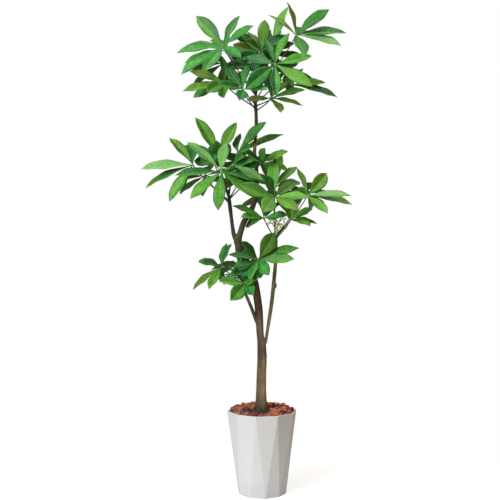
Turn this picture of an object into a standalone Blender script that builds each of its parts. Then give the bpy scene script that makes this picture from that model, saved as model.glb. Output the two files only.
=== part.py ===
"""Potted money tree: a faceted pot, soil, bark chips, a branched trunk, leaf stalks and palmate leaves."""

import math
import random

import bmesh
import bpy
from mathutils import Vector
from mathutils.bvhtree import BVHTree

MM = 0.001
GAP = 0.3 * MM

# Pot: two rings of corners, the lower one turned by half a side, joined by triangular facets.
POT_SIDES = 10
POT_HEIGHT = 300 * MM
POT_TOP_RADIUS = 128 * MM
POT_BASE_RADIUS = 89 * MM
POT_WALL = 4.5 * MM
POT_FLOOR = 8 * MM
POT_TURN = math.radians(-10.6)
POT_EDGE_BEVEL = 0.8 * MM

# Soil and bark chips inside the pot.
SOIL_TOP = 280 * MM
CHIP_BED_TOP = 287 * MM
CHIP_COUNT = 26
CHIP_LENGTH = 25 * MM
CHIP_WIDTH = 16 * MM
CHIP_DEPTH = 6 * MM
CHIP_TILT = 0.3
CHIP_SIZE_RANGE = (0.7, 1.15)
CHIP_CORNER_RANGE = (0.65, 1.0)
CHIP_SEED = 7
CHIP_FIELD_RADIUS = 103 * MM

# Trunk and branches in mm: across, depth, height and radius at each station.
FOOT_RADIUS = 24.5
FOOT_X = -3
FOOT_BOTTOM = 150
TRUNK_SIDES = 12
TRUNK = [
    (FOOT_X, 0, FOOT_BOTTOM, FOOT_RADIUS),
    (FOOT_X, 0, 306, FOOT_RADIUS),
    (-3, 0, 336, 20.5),
    (-3, 0, 382, 18.5),
    (-2, 0, 432, 17.8),
    (0, 0, 484, 17.4),
    (0, 1, 538, 16.6),
    (-7, 3, 605, 14.6),
    (-12, 4, 671, 14.4),
    (-20, 5, 728, 14.6),
    (-30, 5, 776, 14.8),
    (-48, 5, 821, 14.8),
    (-66, 4, 862, 14.8),
    (-84, 2, 902, 15.0),
    (-92, 0, 926, 13.0),
    (-94, 0, 936, 9.0),
]
UPPER_STEM = [
    (-84, 2, 902, 12.0),
    (-85, 0, 928, 11.5),
    (-78, -3, 956, 11.0),
    (-67, -5, 988, 10.6),
    (-51, -7, 1016, 10.2),
    (-34, -9, 1046, 9.8),
    (-24, -10, 1084, 8.8),
    (-19, -11, 1144, 8.0),
    (-22, -12, 1199, 7.2),
    (-27, -12, 1244, 6.6),
    (-24, -12, 1298, 6.4),
    (-21, -10, 1347, 6.4),
    (-22, -8, 1393, 6.2),
]
LEFT_LIMB = [
    (-88, 0, 912, 11.0),
    (-101, 0, 936, 9.6),
    (-108, -1, 970, 8.6),
    (-113, -3, 1010, 8.0),
    (-118, -5, 1051, 7.4),
]
RIGHT_BRANCH = [
    (0, 0, 528, 9.0),
    (15, -4, 562, 8.4),
    (24, -8, 630, 7.8),
    (35, -12, 693, 7.6),
    (42, -14, 758, 7.4),
    (48, -15, 827, 7.0),
    (50, -15, 870, 6.8),
    (51, -15, 913, 6.4),
]
LOW_BRANCH = [
    (-9, 3, 606, 7.6),
    (-23, -6, 633, 6.8),
    (-37, -14, 672, 6.4),
    (-50, -20, 703, 6.2),
    (-61, -25, 730, 6.0),
    (-68, -28, 755, 5.6),
]
KNOTS = [
    (46, -15, 757, 8.4),
    (7, -4, 462, 14),
    (-16, 1, 700, 12.5),
    (-85, -3, 893, 14.5),
]

# Green shoots that end each branch, in mm: across, depth, height and radius.
SHOOTS = {
    "shoot_top": [(-22, -8, 1393, 6.0), (-24, -7, 1420, 5.6), (-23, -5, 1450, 4.8), (-20, -3, 1482, 3.4)],
    "shoot_left": [(-118, -5, 1051, 7.0), (-120, -5, 1072, 6.0), (-123, -3, 1098, 3.6)],
    "shoot_right": [(51, -15, 913, 6.2), (50, -14, 945, 5.4), (47, -12, 990, 3.4)],
    "shoot_low": [(-68, -28, 755, 5.4), (-73, -31, 772, 4.8), (-78, -34, 792, 3.4)],
}
SHOOT_SIDES = 8
SHOOT_SEAT = 0.6
LAST_STALK = 0.97
STALK_SIDES = 5
STALK_STEPS = 4
STALK_TURN = 0.45
STALK_BEND = 0.38
STALK_ROOT_RADIUS = 2.4 * MM
STALK_TIP_RADIUS = 1.9 * MM

# Leaves. The front elevation is drawn from a point in front of the pot, level with the tree's middle.
VIEWPOINT = Vector((-44 * MM, -3000 * MM, 887 * MM))
BLADE_THICKNESS = 0.8 * MM
WIDTH_SHARE = 0.33
NARROWEST_BLADE = 42 * MM
WIDEST_BLADE = 56 * MM
BLADE_FOLD = 0.22
BLADE_ARCH = 0.055
BLADE_OUTLINE = [(0.015, 0.055), (0.29, 0.58), (0.56, 1.0), (0.81, 0.76), (1.0, 0.06)]
CLEAR_OUTLINE = [(0.05, 0.14), (0.16, 0.34), (0.29, 0.62), (0.56, 1.05), (0.81, 0.82), (1.02, 0.12)]
CLEAR_THICKNESS = 3.6 * MM
HUB_SIDES = 6
HUB_RADIUS = 4.4 * MM
HUB_BELOW = 4.0 * MM
HUB_ABOVE = 2.5 * MM
LEAST_SEEN = 0.2
MOST_BACKWARD = -0.72
FRONT_FACING = Vector((0, -0.7, 0.7))
SHIFTS = [0, 14, -14, 28, -28, 42, -42, 56, -56, 70, -70, 85, -85, 100, -100, 120, -120]

# Each leaf: shoot, share of the shoot where its stalk leaves, hub (across, depth, up) in mm, and
# its leaflets as (right, up, back) from hub to tip and the width that shows from the front.
FRONT_LEAVES = {
    "leaf_top_front": (
        "shoot_top", 0.5, (48, -110, 1568),
        [(51, 119, 50, 30), (136, 33, -10, 33), (139, -80, -30, 44), (5, -114, -50, 40),
         (-109, -91, -40, 56), (-110, 26, 30, 36), (-38, 100, 70, 30)],
    ),
    "leaf_top_upper_left": (
        "shoot_top", 0.8, (-142, -20, 1635),
        [(-100, 113, 20, 50), (58, 115, 50, 30), (110, 77, -60, 26), (-173, -22, 10, 30),
         (-157, -102, -20, 32), (-75, -87, -90, 46), (65, -40, -100, 40)],
    ),
    "leaf_top_peak": (
        "shoot_top", 0.92, (125, 10, 1676),
        [(-32, 124, 20, 18), (122, 96, -10, 40), (186, 11, 10, 30), (167, -36, -40, 26),
         (32, -73, -120, 44), (-101, 76, 40, 16), (40, 20, 150, 40)],
    ),
    "leaf_top_centre": (
        "shoot_top", 1.0, (0, -30, 1617),
        [(10, 117, 40, 44), (-59, 77, 90, 22), (-81, 11, 100, 44), (-59, 37, -120, 30),
         (-16, -50, -130, 40), (97, 62, 80, 36)],
    ),
    "leaf_top_left": (
        "shoot_top", 0.18, (-138, -70, 1499),
        [(-7, 102, 60, 30), (-128, 47, 20, 33), (-154, -27, -10, 30), (-118, -50, 70, 34),
         (-64, -32, -130, 46), (-3, -53, -130, 34), (70, 10, 90, 30)],
    ),
    "leaf_top_lower_left": (
        "shoot_top", 0.08, (-70, -105, 1477),
        [(91, 0, -100, 22), (-12, -39, -130, 44), (-63, 84, 60, 36), (18, 92, 70, 34),
         (-92, 20, -60, 30)],
    ),
    "leaf_top_right": (
        "shoot_top", 0.24, (110, -10, 1493),
        [(124, 11, 40, 26), (169, -43, 0, 24), (-35, 22, 130, 30), (30, 60, 120, 34)],
    ),
    "leaf_top_low": (
        "shoot_top", 0.04, (33, -60, 1444),
        [(126, 33, -20, 22), (120, -27, 50, 18), (35, -50, -120, 26), (60, 60, 90, 30),
         (-22, 70, 110, 30), (-90, -8, 60, 22)],
    ),
    "leaf_top_upper_left_rear": (
        "shoot_top", 0.7, (-128, 55, 1622),
        [(-152, 18, 30, 26), (-160, -48, 20, 26), (14, 80, 110, 24), (-60, 40, 130, 30),
         (50, -60, 110, 34)],
    ),
    "leaf_top_inner": (
        "shoot_top", 0.6, (-40, 75, 1562),
        [(-98, 2, 90, 36), (-62, 84, 80, 32), (30, 110, 70, 34), (96, 44, 80, 34),
         (70, -60, 90, 36), (-60, -76, 80, 40)],
    ),
    "leaf_top_crest": (
        "shoot_top", 0.9, (37, 123, 1626),
        [(58, 156, -60, 33), (-40, 90, 120, 30), (-10, -40, 130, 34), (-40, -50, 60, 36),
         (30, 70, 120, 30), (10, -70, 80, 34)],
    ),
    "leaf_left_front": (
        "shoot_left", 0.25, (-149, -95, 1174),
        [(-126, 113, 20, 30), (16, 109, 60, 40), (-171, -10, 10, 28), (-116, -98, -20, 37),
         (-13, -142, -30, 44), (131, -97, -20, 36), (160, -34, -10, 28), (127, 47, 30, 24)],
    ),
    "leaf_left_outer": (
        "shoot_left", 0.35, (-254, -20, 1199),
        [(-192, -12, 0, 33), (-177, -83, -10, 24), (-89, -134, -20, 37), (-86, 102, 50, 34),
         (-14, 81, 110, 52), (-44, -110, 60, 20)],
    ),
    "leaf_left_rear": (
        "shoot_left", 0.8, (-161, 50, 1228),
        [(-83, 148, 10, 44), (67, 130, 20, 40), (-5, 60, -100, 44), (-130, 40, 80, 34),
         (100, -10, 100, 34), (-40, -40, 140, 40)],
    ),
    "leaf_left_upper": (
        "shoot_left", 1.0, (-89, 22, 1244),
        [(104, 115, -80, 33), (170, 71, 60, 28), (4, 71, 110, 30), (48, 20, -110, 30)],
    ),
    "leaf_left_inner": (
        "shoot_left", 0.5, (-4, -62, 1208),
        [(15, 52, -100, 30), (100, 42, -70, 26), (104, -26, 50, 26), (-60, 40, -90, 26)],
    ),
    "leaf_right_front": (
        "shoot_right", 0.6, (44, -95, 1079),
        [(-126, 51, -60, 46), (-33, 83, -60, 30), (4, 148, 10, 46), (80, 58, 90, 36),
         (127, 3, -30, 30), (-37, -52, -130, 58), (89, -46, -90, 36)],
    ),
    "leaf_right_outer": (
        "shoot_right", 0.3, (167, -20, 1087),
        [(-39, 104, 40, 22), (71, 84, 60, 50), (163, 1, 0, 26), (168, -32, 40, 26),
         (75, -65, -80, 32), (-50, 20, 120, 34), (20, -46, 120, 36)],
    ),
    "leaf_right_rear": (
        "shoot_right", 0.95, (46, 60, 1118),
        [(83, 77, 40, 30), (96, 20, 100, 30), (-92, 40, 80, 36), (-50, 98, 60, 36),
         (-10, -30, 150, 44), (26, 124, 30, 36)],
    ),
    "leaf_right_low_left": (
        "shoot_right", 0.14, (7, -62, 1004),
        [(-84, 5, -90, 20), (-116, 47, -20, 22), (-25, 77, 70, 22), (87, 11, -90, 28),
         (-70, -30, 90, 30)],
    ),
    "leaf_right_low": (
        "shoot_right", 0.2, (106, -30, 999),
        [(98, -14, 60, 20), (72, -22, -100, 18), (-25, 44, -120, 22), (16, 39, 120, 34),
         (80, 40, 70, 26)],
    ),
    "leaf_low_right": (
        "shoot_low", 0.9, (-13, -105, 850),
        [(-64, 69, -80, 30), (59, 102, 30, 58), (150, 47, 20, 33), (132, 5, -40, 37),
         (-31, -73, -90, 30), (38, -55, -100, 44), (-111, 21, 20, 22)],
    ),
    "leaf_low_left": (
        "shoot_low", 0.65, (-149, -45, 825),
        [(19, 90, 50, 22), (37, 85, -50, 18), (-68, 18, -100, 24), (-107, -83, 0, 22),
         (-46, -81, -70, 32), (-84, 26, 90, 30), (-10, -50, 110, 34)],
    ),
    "leaf_low_front": (
        "shoot_low", 0.3, (-61, -90, 766),
        [(-98, 8, -50, 32), (-54, -63, -90, 52), (28, -44, -100, 42), (50, 20, -90, 30)],
    ),
}

# Each leaf behind: shoot, share of the shoot, hub in mm, the way it faces, leaflets, length, first angle.
BACK_LEAVES = {
    "leaf_top_back_left": ("shoot_top", 0.3, (-143, 118, 1600), (-0.29, 0.36, 0.91), 7, 150, 351),
    "leaf_top_back": ("shoot_top", 0.75, (25, 186, 1653), (0.05, 0.46, 0.86), 7, 156, 56),
    "leaf_top_back_right": ("shoot_top", 0.4, (91, 147, 1573), (0.16, 0.22, 0.9), 7, 146, 21),
    "leaf_left_back": ("shoot_left", 0.55, (-72, 158, 1190), (0.05, 0.42, 0.88), 7, 152, 25),
    "leaf_left_back_outer": ("shoot_left", 0.15, (-215, 135, 1172), (-0.24, 0.24, 0.82), 6, 142, 336),
    "leaf_right_back": ("shoot_right", 0.5, (47, 140, 1099), (0.07, 0.42, 0.95), 7, 150, 2),
    "leaf_right_back_outer": ("shoot_right", 0.36, (171, 161, 1111), (0.14, 0.36, 0.9), 6, 138, 350),
    "leaf_low_back": ("shoot_low", 0.5, (-91, 97, 838), (-0.11, 0.21, 0.95), 6, 112, 356),
}
BACK_DROOP = 0.14
BACK_WIDTH = 46
BACK_TURN_SPREAD = 8
BACK_LENGTH_SPREAD = 0.08
MOST_BACK_SHIFT = 70


def clear_scene():
    for thing in list(bpy.data.objects):
        bpy.data.objects.remove(thing, do_unlink=True)


def material(name, colour, roughness):
    made = bpy.data.materials.new(name)
    made.use_nodes = True
    shader = made.node_tree.nodes["Principled BSDF"]
    shader.inputs["Base Color"].default_value = (*colour, 1)
    shader.inputs["Roughness"].default_value = roughness
    return made


def add_object(name, solid, finish, group=None):
    mesh = bpy.data.meshes.new(name)
    mesh.from_pydata([tuple(v) for v in solid[0]], [], solid[1])
    mesh.materials.append(finish)
    made = bpy.data.objects.new(name, mesh)
    (group or bpy.context.scene.collection).objects.link(made)
    return made


def apply_modifiers(thing):
    graph = bpy.context.evaluated_depsgraph_get()
    mesh = bpy.data.meshes.new_from_object(thing.evaluated_get(graph))
    thing.modifiers.clear()
    old = thing.data
    thing.data = mesh
    bpy.data.meshes.remove(old)
    mesh.name = thing.name


def islands(work):
    """Lists of faces that are joined to one another."""
    left = set(work.faces)
    found = []
    while left:
        queue = [left.pop()]
        island = []
        while queue:
            face = queue.pop()
            island.append(face)
            near = {other for edge in face.edges for other in edge.link_faces} & left
            left -= near
            queue.extend(near)
        found.append(island)
    return found


def signed_volume(faces):
    total = 0.0
    for face in faces:
        corners = [v.co for v in face.verts]
        for a, b in zip(corners[1:], corners[2:]):
            total += corners[0].dot(a.cross(b)) / 6
    return total


def keep_main_body(thing):
    """Fills sealed hollows and drops loose scraps left by a union."""
    work = bmesh.new()
    work.from_mesh(thing.data)
    found = sorted(islands(work), key=signed_volume)
    for island in found[:-1]:
        bmesh.ops.delete(work, geom=island, context="FACES")
    work.to_mesh(thing.data)
    work.free()


def fuse(name, solids, finish, smooth=True):
    """One object joined from closed solids that overlap."""
    made = add_object(name, solids[0], finish)
    group = bpy.data.collections.new(name + "_pieces")
    bpy.context.scene.collection.children.link(group)
    for i, solid in enumerate(solids[1:]):
        add_object(f"{name}_piece_{i}", solid, finish, group=group)
    join = made.modifiers.new("join", "BOOLEAN")
    join.operation = "UNION"
    join.operand_type = "COLLECTION"
    join.collection = group
    join.solver = "MANIFOLD"
    apply_modifiers(made)
    for piece in list(group.objects):
        bpy.data.objects.remove(piece, do_unlink=True)
    bpy.data.collections.remove(group)
    keep_main_body(made)
    if smooth:
        made.data.shade_smooth()
    return made


def cut(thing, solid):
    """Takes a closed solid out of the object."""
    cutter = add_object("cutter", solid, thing.data.materials[0])
    cutter.hide_render = True
    cutter.display_type = "WIRE"
    bore = thing.modifiers.new("bore", "BOOLEAN")
    bore.operation = "DIFFERENCE"
    bore.object = cutter
    bore.solver = "EXACT"
    apply_modifiers(thing)
    bpy.data.objects.remove(cutter, do_unlink=True)


def tube(points, radii, sides):
    """A closed round rod through the points."""
    points = [Vector(p) for p in points]
    verts, faces = [], []
    last = len(points) - 1
    side = Vector((1, 0.02, 0.01))
    for i, point in enumerate(points):
        ahead = (points[min(i + 1, last)] - points[max(i - 1, 0)]).normalized()
        side = (side - ahead * side.dot(ahead)).normalized()
        other = ahead.cross(side)
        for k in range(sides):
            turn = 2 * math.pi * k / sides
            verts.append(point + (side * math.cos(turn) + other * math.sin(turn)) * radii[i])
    for i in range(last):
        for k in range(sides):
            a, b = i * sides + k, i * sides + (k + 1) % sides
            faces.append((a, b, b + sides, a + sides))
    faces.append(tuple(reversed(range(sides))))
    faces.append(tuple(range(last * sides, (last + 1) * sides)))
    return verts, faces


def stem(stations, sides, grow=0.0):
    """A rod from (across, depth, height, radius) stations in mm."""
    points = [Vector(s[:3]) * MM for s in stations]
    return tube(points, [s[3] * MM + grow for s in stations], sides)


def knot(x, y, z, radius):
    """A low round swelling on the bark."""
    levels = [-0.9, -0.45, 0.0, 0.45, 0.9]
    points = [Vector((x, y, z + 1.4 * radius * level)) * MM for level in levels]
    return tube(points, [radius * MM * math.sqrt(1 - level * level) for level in levels], 8)


def pot_ring(radius, height, turn):
    ring = []
    for k in range(POT_SIDES):
        angle = turn + 2 * math.pi * k / POT_SIDES
        ring.append(Vector((radius * math.sin(angle), -radius * math.cos(angle), height)))
    return ring


def facets(low, high):
    """Triangular facets between two rings of corners, the low one turned by half a side."""
    faces = []
    for k in range(POT_SIDES):
        n = (k + 1) % POT_SIDES
        faces.append((high + k, low + k, high + n))
        faces.append((low + k, low + n, high + n))
    return faces


def make_pot(finish):
    n = POT_SIDES
    half = math.pi / n
    verts = pot_ring(POT_BASE_RADIUS, 0, POT_TURN + half)
    verts += pot_ring(POT_TOP_RADIUS, POT_HEIGHT, POT_TURN)
    verts += pot_ring(inner_radius(POT_FLOOR), POT_FLOOR, POT_TURN + half)
    verts += pot_ring(POT_TOP_RADIUS - POT_WALL, POT_HEIGHT, POT_TURN)
    faces = facets(0, n) + [tuple(reversed(f)) for f in facets(2 * n, 3 * n)]
    for k in range(n):
        j = (k + 1) % n
        faces.append((n + k, n + j, 3 * n + j, 3 * n + k))
    faces.append(tuple(reversed(range(n))))
    faces.append(tuple(range(2 * n, 3 * n)))
    pot = add_object("pot", (verts, faces), finish)
    work = bmesh.new()
    work.from_mesh(pot.data)
    work.verts.ensure_lookup_table()
    floor_corners = set(work.verts[2 * n : 3 * n])
    edges = [e for e in work.edges if not floor_corners & set(e.verts)]
    bmesh.ops.bevel(work, geom=edges, offset=POT_EDGE_BEVEL, segments=1, affect="EDGES")
    work.to_mesh(pot.data)
    work.free()


def inner_radius(height):
    """Corner radius of the inside at this height, on the line from floor corner to rim corner."""
    share = height / POT_HEIGHT
    return POT_BASE_RADIUS + (POT_TOP_RADIUS - POT_BASE_RADIUS) * share - POT_WALL


def filling(bottom, top, finish, name):
    """The space inside the pot between two heights, a gap clear of its wall."""
    n = POT_SIDES
    inset = GAP / math.cos(math.pi / n)
    verts = pot_ring(inner_radius(POT_FLOOR) - inset, POT_FLOOR, POT_TURN + math.pi / n)
    verts += pot_ring(POT_TOP_RADIUS - POT_WALL - inset, POT_HEIGHT, POT_TURN)
    faces = facets(0, n) + [tuple(reversed(range(n))), tuple(range(n, 2 * n))]
    made = add_object(name, (verts, faces), finish)
    work = bmesh.new()
    work.from_mesh(made.data)
    for height, way in ((bottom, -1), (top, 1)):
        whole = list(work.verts) + list(work.edges) + list(work.faces)
        result = bmesh.ops.bisect_plane(
            work, geom=whole, plane_co=(0, 0, height), plane_no=(0, 0, way), clear_outer=True
        )
        loop = [e for e in result["geom_cut"] if isinstance(e, bmesh.types.BMEdge)]
        bmesh.ops.contextual_create(work, geom=loop)
    bmesh.ops.recalc_face_normals(work, faces=list(work.faces))
    work.to_mesh(made.data)
    work.free()
    return made


def foot_hole(bottom, top):
    """The plain round hole that the trunk's foot stands in."""
    ends = [(FOOT_X, 0, bottom / MM, FOOT_RADIUS), (FOOT_X, 0, top / MM, FOOT_RADIUS)]
    return stem(ends, TRUNK_SIDES, grow=GAP)


def make_soil(finish):
    soil = filling(POT_FLOOR + GAP, SOIL_TOP, finish, "soil")
    cut(soil, foot_hole(FOOT_BOTTOM * MM - GAP, POT_HEIGHT))


def chip(rng):
    """One bark chip: a flat block with uneven corners, tilted and turned, lying on the bed."""
    reach = CHIP_FIELD_RADIUS * math.sqrt(rng.uniform(0.09, 1))
    bearing = rng.uniform(0, 2 * math.pi)
    centre = Vector((reach * math.cos(bearing), reach * math.sin(bearing), 0))
    centre.z = CHIP_BED_TOP + CHIP_DEPTH * rng.uniform(0.1, 0.75)
    turn = rng.uniform(0, math.pi)
    lean, roll = rng.uniform(-CHIP_TILT, CHIP_TILT), rng.uniform(-CHIP_TILT, CHIP_TILT)
    along = Vector((math.cos(turn), math.sin(turn), lean)).normalized()
    up = Vector((roll * math.sin(turn), -roll * math.cos(turn), 1))
    up = (up - along * up.dot(along)).normalized()
    side = up.cross(along)
    size = [CHIP_LENGTH * rng.uniform(*CHIP_SIZE_RANGE), CHIP_WIDTH * rng.uniform(*CHIP_SIZE_RANGE)]
    size.append(CHIP_DEPTH)
    verts = []
    for k in (-1, 1):
        for i, j in ((-1, -1), (1, -1), (1, 1), (-1, 1)):
            a, b, c = (0.5 * q * rng.uniform(*CHIP_CORNER_RANGE) for q in size)
            verts.append(centre + along * i * a + side * j * b + up * k * c)
    sides = [(i, (i + 1) % 4, (i + 1) % 4 + 4, i + 4) for i in range(4)]
    split = [t for q in sides for t in ((q[0], q[1], q[2]), (q[0], q[2], q[3]))]
    return verts, split + [(0, 2, 1), (0, 3, 2), (4, 5, 6), (4, 6, 7)]


def make_chips(finish):
    rng = random.Random(CHIP_SEED)
    bed = filling(SOIL_TOP + GAP, CHIP_BED_TOP, finish, "bed")
    base = [v.co.copy() for v in bed.data.vertices], [tuple(p.vertices) for p in bed.data.polygons]
    bpy.data.objects.remove(bed, do_unlink=True)
    chips = fuse("bark_chips", [base] + [chip(rng) for _ in range(CHIP_COUNT)], finish, smooth=False)
    cut(chips, foot_hole(SOIL_TOP - 5 * MM, POT_HEIGHT + 30 * MM))
    keep_main_body(chips)


def woody_solids(grow=0.0):
    solids = [stem(TRUNK, TRUNK_SIDES, grow), stem(UPPER_STEM, 10, grow)]
    solids += [stem(s, 8, grow) for s in (LEFT_LIMB, RIGHT_BRANCH, LOW_BRANCH)]
    return solids + [knot(*k) for k in KNOTS]


def shoot_stations(name):
    """The shoot's stations, the first one raised by the small gap that it keeps from its branch."""
    first, *rest = SHOOTS[name]
    heading = (Vector(rest[0][:3]) - Vector(first[:3])).normalized()
    return [(*(Vector(first[:3]) + heading * SHOOT_SEAT), first[3]), *rest]


def on_shoot(name, share):
    """The point on a shoot's centre line at this share of its length."""
    points = [Vector(s[:3]) * MM for s in SHOOTS[name]]
    spans = [(b - a).length for a, b in zip(points, points[1:])]
    left = share * sum(spans) * LAST_STALK
    for a, b, span in zip(points, points[1:], spans):
        if left <= span:
            return a.lerp(b, left / span)
        left -= span
    return points[-1]


def from_elevation(across, depth, up):
    """The point at this depth that lines up with (across, up) on the front elevation, in mm."""
    flat = Vector((across, 0, up)) * MM
    scale = 1 + depth * MM / -VIEWPOINT.y
    return VIEWPOINT + (flat - VIEWPOINT) * scale


def stalk_curve(start, hub, facing):
    """Centre line of a leaf stalk and the direction in which it meets the leaf."""
    chord = hub - start
    arrive = (chord.normalized() + facing * STALK_TURN).normalized()
    end = hub - arrive * (HUB_BELOW + GAP)
    bend = end - arrive * chord.length * STALK_BEND
    steps = [i / STALK_STEPS for i in range(STALK_STEPS + 1)]
    line = [start.lerp(bend, t).lerp(bend.lerp(end, t), t) for t in steps]
    line[-2] = line[-1] - arrive * (line[-1] - line[-2]).length
    return line, arrive


def stalk(line):
    taper = (STALK_TIP_RADIUS - STALK_ROOT_RADIUS) / STALK_STEPS
    return tube(line, [STALK_ROOT_RADIUS + taper * i for i in range(STALK_STEPS + 1)], STALK_SIDES)


def hub_solid(hub, arrive):
    return tube([hub - arrive * HUB_BELOW, hub + arrive * HUB_ABOVE], [HUB_RADIUS] * 2, HUB_SIDES)


def blade(hub, tip, normal, width, outline, thickness):
    """A leaflet, folded along its rib and arched: narrow flat ends, and three lines across between them."""
    along = tip - hub
    length = along.length
    along = along / length
    normal = (normal - along * normal.dot(along)).normalized()
    side = normal.cross(along)
    verts, rows = [], []
    for i, (u, share) in enumerate(outline):
        rib = hub + along * length * u + normal * BLADE_ARCH * length * 4 * u * (1 - u)
        half = width * share / 2
        lines = (-1, 1) if i in (0, len(outline) - 1) else (-1, 0, 1)
        points = [rib + side * v * half + normal * BLADE_FOLD * abs(v) * half for v in lines]
        rows.append([len(verts) + k for k in range(len(lines))])
        verts += [p + normal * thickness / 2 for p in points]
        verts += [p - normal * thickness / 2 for p in points]
    faces = []
    for near, far in zip(rows, rows[1:]):
        for low, top in ((0, True), (1, False)):
            a, b = [k + low * len(near) for k in near], [k + low * len(far) for k in far]
            if len(a) == 2:
                found = [(a[0], b[0], b[1]), (a[0], b[1], a[1]), (a[1], b[1], b[2])]
            elif len(b) == 2:
                found = [(a[0], b[0], a[1]), (a[1], b[0], b[1]), (a[1], b[1], a[2])]
            else:
                found = [(a[0], b[0], b[1]), (a[0], b[1], a[1]), (a[1], b[1], a[2]), (b[1], b[2], a[2])]
            faces += found if top else [(p, r, q) for p, q, r in found]
        l, el, ln, en = near[0], far[0], len(near), len(far)
        r, er = near[-1], far[-1]
        faces += [(l, l + ln, el + en), (l, el + en, el), (r, er, er + en), (r, er + en, r + ln)]
    e = rows[-1][0]
    faces += [(0, 1, 3), (0, 3, 2), (e, e + 2, e + 3), (e, e + 3, e + 1)]
    return verts, faces


def true_width(length, seen):
    return max(seen, min(WIDEST_BLADE, max(NARROWEST_BLADE, WIDTH_SHARE * length)))


def rolled_normal(hub, tip, seen):
    """The normal of a blade rolled about its rib until this width shows from the front."""
    along = (tip - hub).normalized()
    sight = (VIEWPOINT - hub).normalized()
    level = (sight - along * sight.dot(along)).normalized()
    across = along.cross(level)
    share = max(LEAST_SEEN, seen / true_width((tip - hub).length, seen))
    turn = math.sqrt(1 - share * share)
    if across.z < 0:
        across = -across
    return level * share + across * turn


def front_leaflets(hub, base, leaflets):
    """For each leaflet of a front leaf, a function from shift to (tip, normal, width)."""
    def option(right, up, back, seen):
        def shifted(shift):
            tip = from_elevation(base[0] + right, base[1] + back + shift, base[2] + up)
            normal = rolled_normal(hub, tip, seen * MM)
            return tip, normal, true_width((tip - hub).length, seen * MM)
        return shifted
    return [option(*leaflet) for leaflet in leaflets]


def back_leaflets(hub, facing, count, length, first):
    """For each leaflet of a leaf behind, a function from shift to (tip, normal, width)."""
    level = Vector((1, 0, 0))
    level = (level - facing * level.dot(facing)).normalized()
    other = facing.cross(level)

    def option(k):
        turn = math.radians(first + 360 * k / count + BACK_TURN_SPREAD * math.sin(5 * k + first))
        reach = length * (1 - BACK_LENGTH_SPREAD * math.cos(3 * k + first))
        out = level * math.cos(turn) + other * math.sin(turn)

        def shifted(shift):
            tip = hub + (out * reach - facing * (BACK_DROOP * reach + shift)) * MM
            return tip, facing, BACK_WIDTH * MM
        return shifted
    return [option(k) for k in range(count)]


class Obstacle:
    """Solids that a leaflet must stay clear of, with the box round each."""

    def __init__(self, solid, owner=None):
        verts = [Vector(v) for v in solid[0]]
        self.low = Vector([min(v[i] for v in verts) for i in range(3)])
        self.high = Vector([max(v[i] for v in verts) for i in range(3)])
        self.tree = BVHTree.FromPolygons(verts, solid[1])
        self.owner = owner

    def meets(self, other):
        if any(self.low[i] > other.high[i] or other.low[i] > self.high[i] for i in range(3)):
            return False
        return bool(self.tree.overlap(other.tree))


def place_leaf(name, hub, arrive, line, options, obstacles):
    """The solids of one leaf: each leaflet takes the least shift that keeps it clear of the rest."""
    most = MOST_BACK_SHIFT if name in BACK_LEAVES else max(SHIFTS)
    solids = [hub_solid(hub, arrive)]
    own = [Obstacle(stalk(line))]
    dropped = 0
    for option in options:
        for shift in (shift for shift in SHIFTS if abs(shift) <= most):
            tip, normal, width = option(shift)
            trial = Obstacle(blade(hub, tip, normal, width, CLEAR_OUTLINE, CLEAR_THICKNESS))
            outer = Obstacle(blade(hub, tip, normal, width, CLEAR_OUTLINE[1:], CLEAR_THICKNESS))
            backward = (tip - hub).normalized().dot(arrive) < MOST_BACKWARD
            crossed = any(trial.meets(o) for o in obstacles if o.owner != name)
            if not (backward or crossed or any(outer.meets(o) for o in own)):
                break
        else:
            dropped += 1
            continue
        solid = blade(hub, tip, normal, width, BLADE_OUTLINE, BLADE_THICKNESS)
        solids.append(solid)
        obstacles.append(Obstacle(solid, name))
        own.append(Obstacle(blade(hub, tip, normal, width, BLADE_OUTLINE[1:], BLADE_THICKNESS)))
    if dropped:
        print(f"{name}: {dropped} leaflets found no room")
    return solids


def leaf_plan():
    """For each leaf its shoot, stalk line, hub, stalk direction and leaflet options."""
    plan = {}
    for name, (shoot, share, base, leaflets) in FRONT_LEAVES.items():
        hub = from_elevation(*base)
        line, arrive = stalk_curve(on_shoot(shoot, share), hub, FRONT_FACING)
        plan[name] = (shoot, line, hub, arrive, front_leaflets(hub, base, leaflets))
    for name, (shoot, share, place, facing, count, length, first) in BACK_LEAVES.items():
        hub = Vector(place) * MM
        facing = Vector(facing).normalized()
        line, arrive = stalk_curve(on_shoot(shoot, share), hub, facing)
        plan[name] = (shoot, line, hub, arrive, back_leaflets(hub, facing, count, length, first))
    return plan


def make_tree(bark, green, leaf):
    fuse("trunk", woody_solids(), bark)
    plan = leaf_plan()
    obstacles = [Obstacle(solid) for solid in woody_solids(grow=MM)]
    for name in SHOOTS:
        spine = stem(shoot_stations(name), SHOOT_SIDES)
        obstacles.append(Obstacle(spine))
        stalks = [stalk(line) for shoot, line, *_ in plan.values() if shoot == name]
        fuse(name, [spine] + stalks, green)
    for name, (_, line, hub, arrive, _) in plan.items():
        obstacles.append(Obstacle(hub_solid(hub, arrive), name))
        obstacles.append(Obstacle(stalk(line), name))
    for name, (_, line, hub, arrive, options) in plan.items():
        fuse(name, place_leaf(name, hub, arrive, line, options, obstacles), leaf)


def main():
    clear_scene()
    make_pot(material("pot_white", (0.80, 0.79, 0.76), 0.55))
    make_soil(material("soil_dark", (0.055, 0.035, 0.025), 0.95))
    make_chips(material("bark_chips", (0.27, 0.105, 0.05), 0.85))
    bark = material("bark", (0.14, 0.10, 0.055), 0.85)
    green = material("stalk_green", (0.13, 0.15, 0.04), 0.6)
    leaf = material("leaf_green", (0.10, 0.33, 0.07), 0.42)
    make_tree(bark, green, leaf)


main()
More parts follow.
